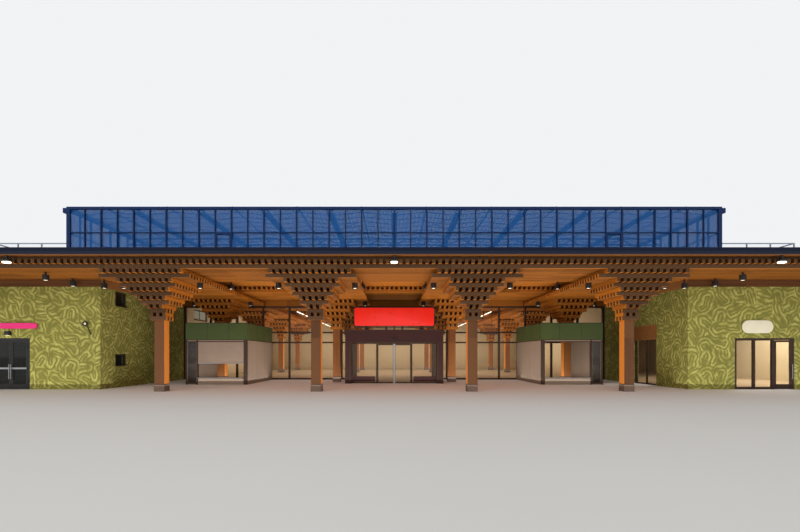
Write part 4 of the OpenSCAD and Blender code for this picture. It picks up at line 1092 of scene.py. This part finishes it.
class HALL_OT_wing_doors(bpy.types.Operator):
    """Glaze the wing doors' leaves and the right unit, with their handles and hinge barrels"""
    bl_idname = "hall.wing_doors"
    bl_label = "Wing doors"

    def execute(self, context):
        heights = np.array([0.15, 0.85]) * high("left_door_leaf_1")[2]
        face = WING_Y
        for node, body, metal, glazing, push_bar in (
                ("left_door_leaf_1", "left_wing_leaf_1", "black", "dark_glass", True),
                ("left_door_leaf_2", "left_wing_leaf_2", "black", "dark_glass", True),
                ("right_door_leaf", "right_wing_leaf", "bronze", "glass", False)):
            x0, x1, _, _, z0, z1 = sides(node)
            hinge_x, hinge_y = next(j for j in frame["joints"] if j["child"] == body)["pos_m"][:2]
            # The leaf ends on the hinge line, and the barrels stand beside that edge
            if abs(hinge_x - x0) < abs(hinge_x - x1):
                x0, free, side = hinge_x, x1, 1
            else:
                x1, free, side = hinge_x, x0, -1
            rim, pane = leaf_parts((x0, face, z0), (x1, face + 0.03, z1), stile=0.04)
            # The rail at the foot is deeper than the rest of the frame
            rim += boxes([((x0 + 0.03, face, z0 + 0.03), (x1 - 0.03, face + 0.03, z0 + 0.12))])
            rim += knuckles(hinge_x, hinge_y, side, heights)
            piece(f"{node}_frame", rim, metal, "dark_metal", body, [node])
            piece(f"{node}_pane", pane, glazing, body=body)
            grips = pull_handle(free - side * 0.02, face, 0.25, 0.6)
            if push_bar:
                grips += boxes([((x0 + 0.02, face - 0.014, 0.48),
                                 (x1 - 0.02, face - 0.002, 0.525))])
                grips += [rods((x, face - 0.004, 0.502), (x, face + 0.001, 0.502), 0.006)
                          for x in (x0 + 0.03, x1 - 0.03)]
            piece(f"{node}_handle", grips, "aluminium", body=body, rounded=True)

        # The right unit: the leaf's hinge line lies 6 mm from the post beside its two panes
        x0, x1, _, back, _, top = sides("right_door_frame")
        bar = 0.045
        post = hinge_x - 0.006 - bar
        middle = (x0 + bar + post) / 2
        uprights = [(x0, x0 + bar), (middle - bar / 2, middle + bar / 2), (post, post + bar),
                    (x1 - bar, x1)]
        bays = [(a, b) for (_, a), (b, _) in zip(uprights, uprights[1:])]
        parts = boxes([((a, face, 0), (b, back, top)) for a, b in uprights])
        parts += boxes([((a - LAP, face + 0.001, top - bar), (b + LAP, back - 0.001, top - 0.001))
                        for a, b in bays])
        panes = []
        for a, b in bays[:2]:
            parts += boxes([((a - LAP, face + 0.001, 0.001), (b + LAP, back - 0.001, bar))])
            parts.append(round_rectangle(section(0, 0.012, face + 0.02, back - 0.02, 0.002),
                                         (a, bar), (b, top - bar), "xz"))
            panes += boxes([((a + LAP, face + 0.031, bar), (b - LAP, face + 0.039, top - bar))],
                           0.001)
        parts += knuckles(hinge_x, hinge_y, -1, [h + s * KNUCKLE for h in heights for s in (-1, 1)])
        piece("right_unit_frame", parts, "bronze", replaces=["right_door_frame"])
        piece("right_unit_panes", panes, "glass")
        return {"FINISHED"}


class HALL_OT_entrance(bpy.types.Operator):
    """Glaze the sliding leaves, trim the portal and mount the plain lit panel on it"""
    bl_idname = "hall.entrance"
    bl_label = "Entrance"

    def execute(self, context):
        for side, outwards in (("left", -1), ("right", 1)):
            node, body = f"sliding_door_{side}", f"sliding_leaf_{side}"
            x0, x1, y0, y1, z0, z1 = sides(node)
            leaf_top = z1 - 0.006
            rim, pane = leaf_parts((x0, y0, z0), (x1, y1, leaf_top), stile=0.028)
            runner = ((x0 + 0.035, y0 + 0.01, leaf_top - LAP), (x1 - 0.035, y1 - 0.01, z1))
            piece(f"{node}_frame", rim + boxes([runner], 0.001), "bronze", body=body,
                  replaces=[node])
            edge = x1 if side == "left" else x0
            strip = sorted_corner((edge - outwards * 0.0005, y0 - 0.0005, z0 + 0.004),
                                  (edge + outwards * 0.027, y1 + 0.0005, leaf_top - 0.004))
            piece(f"{node}_edge", boxes([strip], 0.001), "aluminium", body=body)
            piece(f"{node}_pane", pane, "glass", body=body)

        _, half, y0, _, _, top = sides("entrance_portal")
        inner, head = half - 0.16, 1.195
        near, far = y0 - 0.006, y0 + 0.03
        trims = both(inner - 0.012, inner + 0.03, near, far, 0.0, head)
        trims += both(half - 0.03, half + 0.004, near, far, 0.0, top)
        trims += [((-inner, near, head - 0.012), (inner, far, head + 0.012)),
                  ((-half, near, top - 0.03), (half, far, top + 0.004))]
        piece("portal_trims", boxes(trims), "bronze")
        joints = [((x - 0.004, y0 - 0.002, head + 0.012), (x + 0.004, y0 + 0.01, top - 0.03))
                  for x in (-0.7, 0.7)]
        piece("portal_head_joints", boxes(joints, 0.001), "bronze")
        line = ((0.06 - inner, y0 + 0.02, head - 0.008), (inner - 0.06, y0 + 0.045, head + 0.001))
        piece("portal_light_line", boxes([line], 0.001), "lens")
        piece("door_sensor", soft_slab((-0.07, y0 - 0.03, 1.25), (0.07, y0 + 0.001, 1.30), 0.015,
                                       0.008), "black", rounded=True)
        # Dark panels in the side lights, behind the sliding leaves' path
        screen_y = low("entrance_screen")[1]
        lights = both(0.56, inner - 0.05, screen_y + 0.078, screen_y + 0.1, 0.05, 0.20)
        piece("side_light_panels", boxes(lights), "portal")

        x0, x1, y0, y1, _, z1 = sides("portal_sign")
        base = 1.64
        panel = soft_slab((x0 + 0.02, y0 + 0.004, base + 0.02), (x1 - 0.02, y0 + 0.05, z1 - 0.02),
                          0.05, 0.012)
        piece("sign_panel", panel, "lit_red", replaces=["portal_sign"], rounded=True)
        rim = round_rectangle(section(0.0, 0.022, y0 + 0.012, y1, 0.004), (x0, base), (x1, z1),
                              "xz")
        back = ((x0 + 0.01, y0 + 0.045, base + 0.01), (x1 - 0.01, y1 - 0.006, z1 - 0.01))
        rail = ((x0, y0 + 0.03, base - 0.05), (x1, y1 - 0.03, base - 0.02))
        posts = [((x - 0.03, y0 + 0.015, top), (x + 0.03, y1 - 0.015, base + 0.01))
                 for x in np.array([-0.7, -0.2, 0.2, 0.7]) * x1]
        piece("sign_frame", [rim] + boxes([back, rail] + posts), "black", "dark_metal")
        return {"FINISHED"}


class HALL_OT_pavilions(bpy.types.Operator):
    """Finish the two pavilions beside the entrance: caps, posts, frames, glass, panels, shutter"""
    bl_idname = "hall.pavilions"
    bl_label = "Pavilions"

    def execute(self, context):
        x0, x1, y0, y1, z0, z1 = sides("right_kiosk_fascia")
        for name, finish, profile in (
                ("pavilion_caps", "cap_sheet", section(-0.008, 0.058, z1 - 0.004, z1 + 0.010)),
                ("pavilion_drips", "bronze", section(-0.004, 0.045, z0 - 0.006, z0 + 0.012,
                                                     0.002))):
            piece(name, [round_rectangle(profile, (a, y0), (b, y1))
                         for a, b in ((x0, x1), (-x1, -x0))], finish)
        seams = []
        for x in (x0 + 0.5, x0 + 1.1):
            seams += both(x, x + 0.006, y0 - 0.002, y0 + 0.01, z0 + 0.012, z1 - 0.005)
        for y in (y0 + 0.85, y0 + 1.7):
            seams += both(x0 - 0.002, x0 + 0.01, y, y + 0.006, z0 + 0.012, z1 - 0.005)
        piece("pavilion_fascia_joints", boxes(seams, 0.001), "cap_sheet")

        # Each front has an open bay over a counter and a narrow glazed bay at its outer end
        bay_x, head, counter, soffit = x1 - 0.34, z0 - 0.05, 0.185, z0 - 0.006
        posts = both(x0 - 0.004, x0 + 0.056, y1 - 0.07, y1 - 0.002, 0, soffit)
        for left, right, foot, top in ((x0 - 0.004, x0 + 0.094, 0, soffit),
                                       (bay_x - 0.004, bay_x + 0.046, 0, soffit),
                                       (x1 - 0.046, x1 + 0.004, 0, soffit),
                                       (x0 + 0.09, bay_x, head - 0.006, head + 0.02),
                                       (bay_x + 0.04, x1 - 0.04, head - 0.006, head + 0.02),
                                       (bay_x + 0.04, x1 - 0.04, 0.02, 0.062)):
            posts += both(left, right, y0 - 0.004, y0 + 0.054, foot, top)
        piece("pavilion_posts", boxes(posts), "bronze")
        glass = both(bay_x + 0.044, x1 - 0.044, y0 + 0.02, y0 + 0.028, 0.05, head)
        piece("pavilion_glass", boxes(glass, 0.001), "dark_glass")
        counters = both(x0 + 0.088, bay_x + 0.002, y0 - 0.03, y0 + 0.075, counter - 0.012,
                        counter + 0.012)
        piece("pavilion_counters", boxes(counters), "aluminium")
        panels = both(x0 + 0.1, bay_x - 0.008, y0 - 0.007, y0 + 0.004, 0.03, counter - 0.016)
        edges = np.linspace(y0 + 0.06, y1 - 0.075, 4)
        for a, b in zip(edges, edges[1:]):
            for near, far in ((x0 - 0.007, x0 + 0.004), (x1 - 0.004, x1 + 0.007)):
                panels += both(near, far, a + 0.004, b - 0.004, 0.03, z0 - 0.012)
        piece("pavilion_side_panels", boxes(panels), "laminate")
        # The left pavilion's shutter is half way down, with slats 41 mm apart
        slats = [((0.004 - bay_x, y0 - 0.002, z), (-x0 - 0.094, y0 + 0.012, z + 0.038))
                 for z in np.arange(0.604, head - 0.03, 0.041)]
        piece("shutter_slats", boxes(slats, 0.006), "laminate")
        foot = ((0.002 - bay_x, y0 - 0.006, 0.58), (-x0 - 0.092, y0 + 0.02, 0.604))
        piece("shutter_foot", boxes([foot]), "aluminium")
        strips = []
        for y in (y0 + 0.4, y0 + 1.4):
            strips += both(x0 + 0.15, bay_x - 0.05, y, y + 0.05, 1.462, 1.472)
        piece("pavilion_light_strips", boxes(strips, 0.002), "lens")
        return {"FINISHED"}


# Height of a spotlight's can, of the hall's light strips and of its pendants' rims
CAN_H, STRIP_Z, PENDANT_Z = 0.125, 2.375, 1.585


class HALL_OT_lamps(bpy.types.Operator):
    """Turn the spotlights and fold the floodlights, with their lit lenses"""
    bl_idname = "hall.lamps"
    bl_label = "Lamps"

    def execute(self, context):
        cans, lenses, floods, flood_lenses = [], [], [], []
        for (x0, y0, z0), (x1, y1, z1) in solids_of("canopy_lamps"):
            x, y, r = (x0 + x1) / 2, (y0 + y1) / 2, (x1 - x0) / 2
            # A spotlight is as wide as it is deep; a floodlight is wider
            if abs(x1 - x0 - y1 + y0) < 0.01:
                can = [(r - 0.014, 0.022), (r - 0.006, 0.0), (r, 0.006), (r, 0.052),
                       (r - 0.003, 0.055), (r - 0.003, 0.059), (r, 0.062), (r, CAN_H - 0.007),
                       (r - 0.007, CAN_H)]
                if z1 > z0 + CAN_H + 0.01:
                    can += [(0.0205, CAN_H + 0.0002), (0.0205, z1 - z0)]
                lens = [(0.035, 0.006), (r - 0.016, 0.010), (r - 0.016, 0.02)]
                cans.append(turned(can, (x, y, z0)))
                lenses.append(turned(lens, (x, y, z0)))
            else:
                floods.append(soft_slab((x0, y0, z0 + 0.034), (x1, y1, z0 + 0.075), 0.012, 0.01,
                                        axis=2))
                floods.append(bars((x, y, z0 + 0.07), (x, y, z1), 0.0375, 0.0375, (0, 1, 0), 0.003))
                floods += boxes([((x0 + 0.02, y0 - 0.002, z0 + 0.078 + 0.006 * k),
                                  (x1 - 0.02, y1 + 0.002, z0 + 0.080 + 0.006 * k))
                                 for k in range(3)], 0)
                flood_lenses.append(soft_slab((x0 + 0.004, y0 + 0.003, z0),
                                              (x1 - 0.004, y1 - 0.003, z0 + 0.04), 0.022, 0.019,
                                              axis=2, steps=7))
        piece("spotlight_cans", cans, "black", replaces=["canopy_lamps"], rounded=True)
        piece("spotlight_lenses", lenses, "lens", rounded=True)
        piece("floodlights", floods, "black")
        piece("floodlight_lenses", flood_lenses, "lens", rounded=True)

        feet = [(x, y) for x in (-2 * BAY + 0.9, -BAY, 0, BAY, 2 * BAY - 0.9)
                for y in np.arange(-1.6, 7.5, 1.6)]
        strips = [((x - 0.015, y, STRIP_Z), (x + 0.015, y + 1.2, STRIP_Z + 0.025)) for x, y in feet]
        piece("hall_light_strips", boxes(strips, 0.004), "lens")
        hangers = [rods((x, y + t, STRIP_Z + 0.02), (x, y + t, BOARD_Z), 0.004, 6)
                   for x, y in feet for t in (0.15, 1.05)]
        piece("hall_strip_hangers", hangers, "zinc")
        # Two flat round pendants behind the shopfront
        dish = [(0.02, 0.03), (0.27, 0.012), (0.292, 0.0), (0.296, 0.006), (0.275, 0.02),
                (0.05, 0.05), (0.012, 0.055), (0.006, 0.06), (0.006, BOARD_Z - PENDANT_Z)]
        piece("hall_pendants", turned(dish, [(x, SHOP_Y + 1.15, PENDANT_Z) for x in (-BAY, BAY)],
                                      count=40), "black", rounded=True)
        return {"FINISHED"}


# Gable spans of the greenhouse's roof, its gutters' depth and half width, the distance between two
# screen wires, and the height of the rail in the middle of its walls
GABLES, GUTTER, WIRE_STEP, WALL_RAIL_Z = 10, 0.09, 0.125, 4.58


class HALL_OT_greenhouse(bpy.types.Operator):
    """Glaze the greenhouse's roof and fit its gutters, bars, braces and doors"""
    bl_idname = "hall.greenhouse"
    bl_label = "Greenhouse"

    def roof(self):
        """The gutters, the rafters and ridges, and the glass between them."""
        _, half, y0, y1, z0, ridge = sides("greenhouse_roof")
        eave = z0 + GUTTER
        span = 2 * half / GABLES
        gutters = []
        for x in (np.arange(GABLES + 1) - GABLES / 2) * span:
            a, b = max(-half, x - GUTTER), min(half, x + GUTTER)
            trough = [(a, eave), (a, z0), (b, z0), (b, eave), (b - 0.006, eave),
                      (b - 0.006, z0 + 0.006), (a + 0.006, z0 + 0.006), (a + 0.006, eave)]
            gutters.append(carried_channel([[(u, y, w) for u, w in trough] for y in (y0, y1)]))
        piece("greenhouse_gutters", gutters, "steel", replaces=["greenhouse_roof"])
        eaves = (np.arange(GABLES) - GABLES / 2) * span
        middles = eaves + span / 2
        slopes = np.stack([np.concatenate([eaves, eaves + span]), np.tile(middles, 2)], 1)
        y = np.linspace(y0 + 0.012, y1 - 0.012, round((y1 - y0) / 0.5) + 1)
        start = [(foot + np.sign(top - foot) * 0.03, v, eave) for foot, top in slopes for v in y]
        end = [(top, v, ridge - 0.012) for _, top in slopes for v in y]
        rafters = bars(start, end, 0.018, 0.022)
        ridges = bars([(x, y0, ridge - 0.013) for x in middles],
                      [(x, y1, ridge - 0.013) for x in middles], 0.04, 0.026, cut=0.004)
        piece("greenhouse_roof_bars", [rafters, ridges], "steel")
        piece("greenhouse_roof_glass", sloped_panes(slopes, y0 + 0.004, y1 - 0.004, eave - 0.004,
                                                    ridge - 0.012, 0.006), "blue_glass")
        return half, span, z0, eave

    def execute(self, context):
        half, span, gutter_z, eave = self.roof()
        _, edge, front_y, front, foot, _ = sides("greenhouse_front_frame")
        rear = low("greenhouse_rear_frame")[1]
        # Wires that carry the shade screens, level with the gutters' feet and clear of the gutters
        wires = np.arange(-half + 0.155, half, WIRE_STEP)
        wires = wires[np.abs((wires + half) % span - span / 2) < span / 2 - 0.1]
        wire_z, wire = gutter_z + 0.012, 0.012
        piece("greenhouse_screen_wires", bars([(x, front + 0.03, wire_z) for x in wires],
                                              [(x, rear - 0.03, wire_z) for x in wires], wire,
                                              wire), "wire")

        base, brace_top = foot + 0.09, eave - 0.05 - 0.1
        crosses = [((s * a, y, WALL_RAIL_Z), (s * b, y, brace_top)) for s in (-1, 1)
                   for a, b in ((9.5, 8.0), (2.0, 0.5)) for y in (front + 0.045, rear - 0.045)]
        crosses += [((s * (edge - 0.105), a, base), (s * (edge - 0.105), b, brace_top))
                    for s in (-1, 1)
                    for a, b in ((front + 0.4, front + 1.9), (rear - 1.9, rear - 0.4))]
        braces = []
        for (ax, ay, az), (bx, by, bz) in crosses:
            braces.append(rods((ax, ay, az), (bx, by, bz), 0.007, 8))
            braces.append(rods((bx, by, az), (ax, ay, bz), 0.007, 8))
        piece("greenhouse_braces", braces, "steel", rounded=True)

        doors = []
        for x in (-5.5, 6.5):
            doors.append(round_rectangle(section(0.0, 0.045, front_y - 0.004, front_y + 0.05),
                                         (x + 0.01, base - 0.01),
                                         (x + 0.49, WALL_RAIL_Z - 0.012), "xz"))
            doors += boxes([((x + 0.05, front_y - 0.004, base + 0.4),
                             (x + 0.45, front_y + 0.046, base + 0.44))])
        piece("greenhouse_doors", doors, "steel")
        heads = [p for y in (front_y + 0.03, rear - 0.19) for p in
                 both(edge - 0.002, edge + 0.13, y, y + 0.16, eave - 0.1, eave + 0.05)]
        piece("greenhouse_rainwater_heads", boxes(heads, 0.006), "steel")

        _, _, y0, y1, z0, z1 = sides("upper_deck")
        z0, z1 = z0 + 0.01, z1 - 0.02
        seams = [((x - 0.008, near, z0), (x + 0.008, far, z1))
                 for near, far in ((y0 - 0.006, y0 + 0.004), (y1 - 0.004, y1 + 0.006))
                 for x in np.arange(-12.0, 12.1, 0.3)]
        seams += [p for y in np.arange(-3.9, 8.2, 0.3) for p in
                  both(HALF_W - 0.004, HALF_W + 0.006, y - 0.008, y + 0.008, z0, z1)]
        piece("deck_skirt_seams", boxes(seams, 0), "skirt")
        return {"FINISHED"}


class HALL_OT_columns(bpy.types.Operator):
    """Set a steel shoe round the foot of each column"""
    bl_idname = "hall.columns"
    bl_label = "Column shoes"

    def execute(self, context):
        half = SHAFT / 2 + 0.004
        shoes = [((x - half, y - half, PLINTH_Z - 0.001), (x + half, y + half, PLINTH_Z + 0.014))
                 for x in LINES for y in ROWS]
        piece("column_shoes", boxes(shoes, 0.002), "bronze")
        return {"FINISHED"}


class HALL_PT_panel(bpy.types.Panel):
    """Lists the hall's pieces in the sidebar"""
    bl_idname = "HALL_PT_panel"
    bl_label = "Supermarket hall"
    bl_space_type = "VIEW_3D"
    bl_region_type = "UI"
    bl_category = "Hall"

    def draw(self, context):
        scene = context.scene
        for step in STEPS:
            self.layout.operator(step.bl_idname)
        for group in (scene.hall_timber, scene.hall_looks, scene.hall_stage):
            for key in group.__annotations__:
                self.layout.prop(group, key)


STEPS = (HALL_OT_stage, HALL_OT_finishes, HALL_OT_capitals, HALL_OT_ceiling, HALL_OT_roof_edge,
         HALL_OT_windows, HALL_OT_fittings, HALL_OT_wing_doors, HALL_OT_entrance, HALL_OT_pavilions,
         HALL_OT_lamps, HALL_OT_greenhouse, HALL_OT_columns)
CLASSES = (HallTimber, HallLooks, HallStage, *STEPS, HALL_PT_panel)


def register():
    """Registers the classes and the scene's three groups of settings."""
    for cls in CLASSES:
        bpy.utils.register_class(cls)
    bpy.types.Scene.hall_timber = bpy.props.PointerProperty(type=HallTimber)
    bpy.types.Scene.hall_looks = bpy.props.PointerProperty(type=HallLooks)
    bpy.types.Scene.hall_stage = bpy.props.PointerProperty(type=HallStage)


def unregister():
    """Takes back what register did."""
    del bpy.types.Scene.hall_stage, bpy.types.Scene.hall_looks, bpy.types.Scene.hall_timber
    for cls in reversed(CLASSES):
        bpy.utils.unregister_class(cls)


def main():
    register()
    for step in STEPS:
        group, name = step.bl_idname.split(".")
        getattr(getattr(bpy.ops, group), name)()


if __name__ == "__main__":
    main()
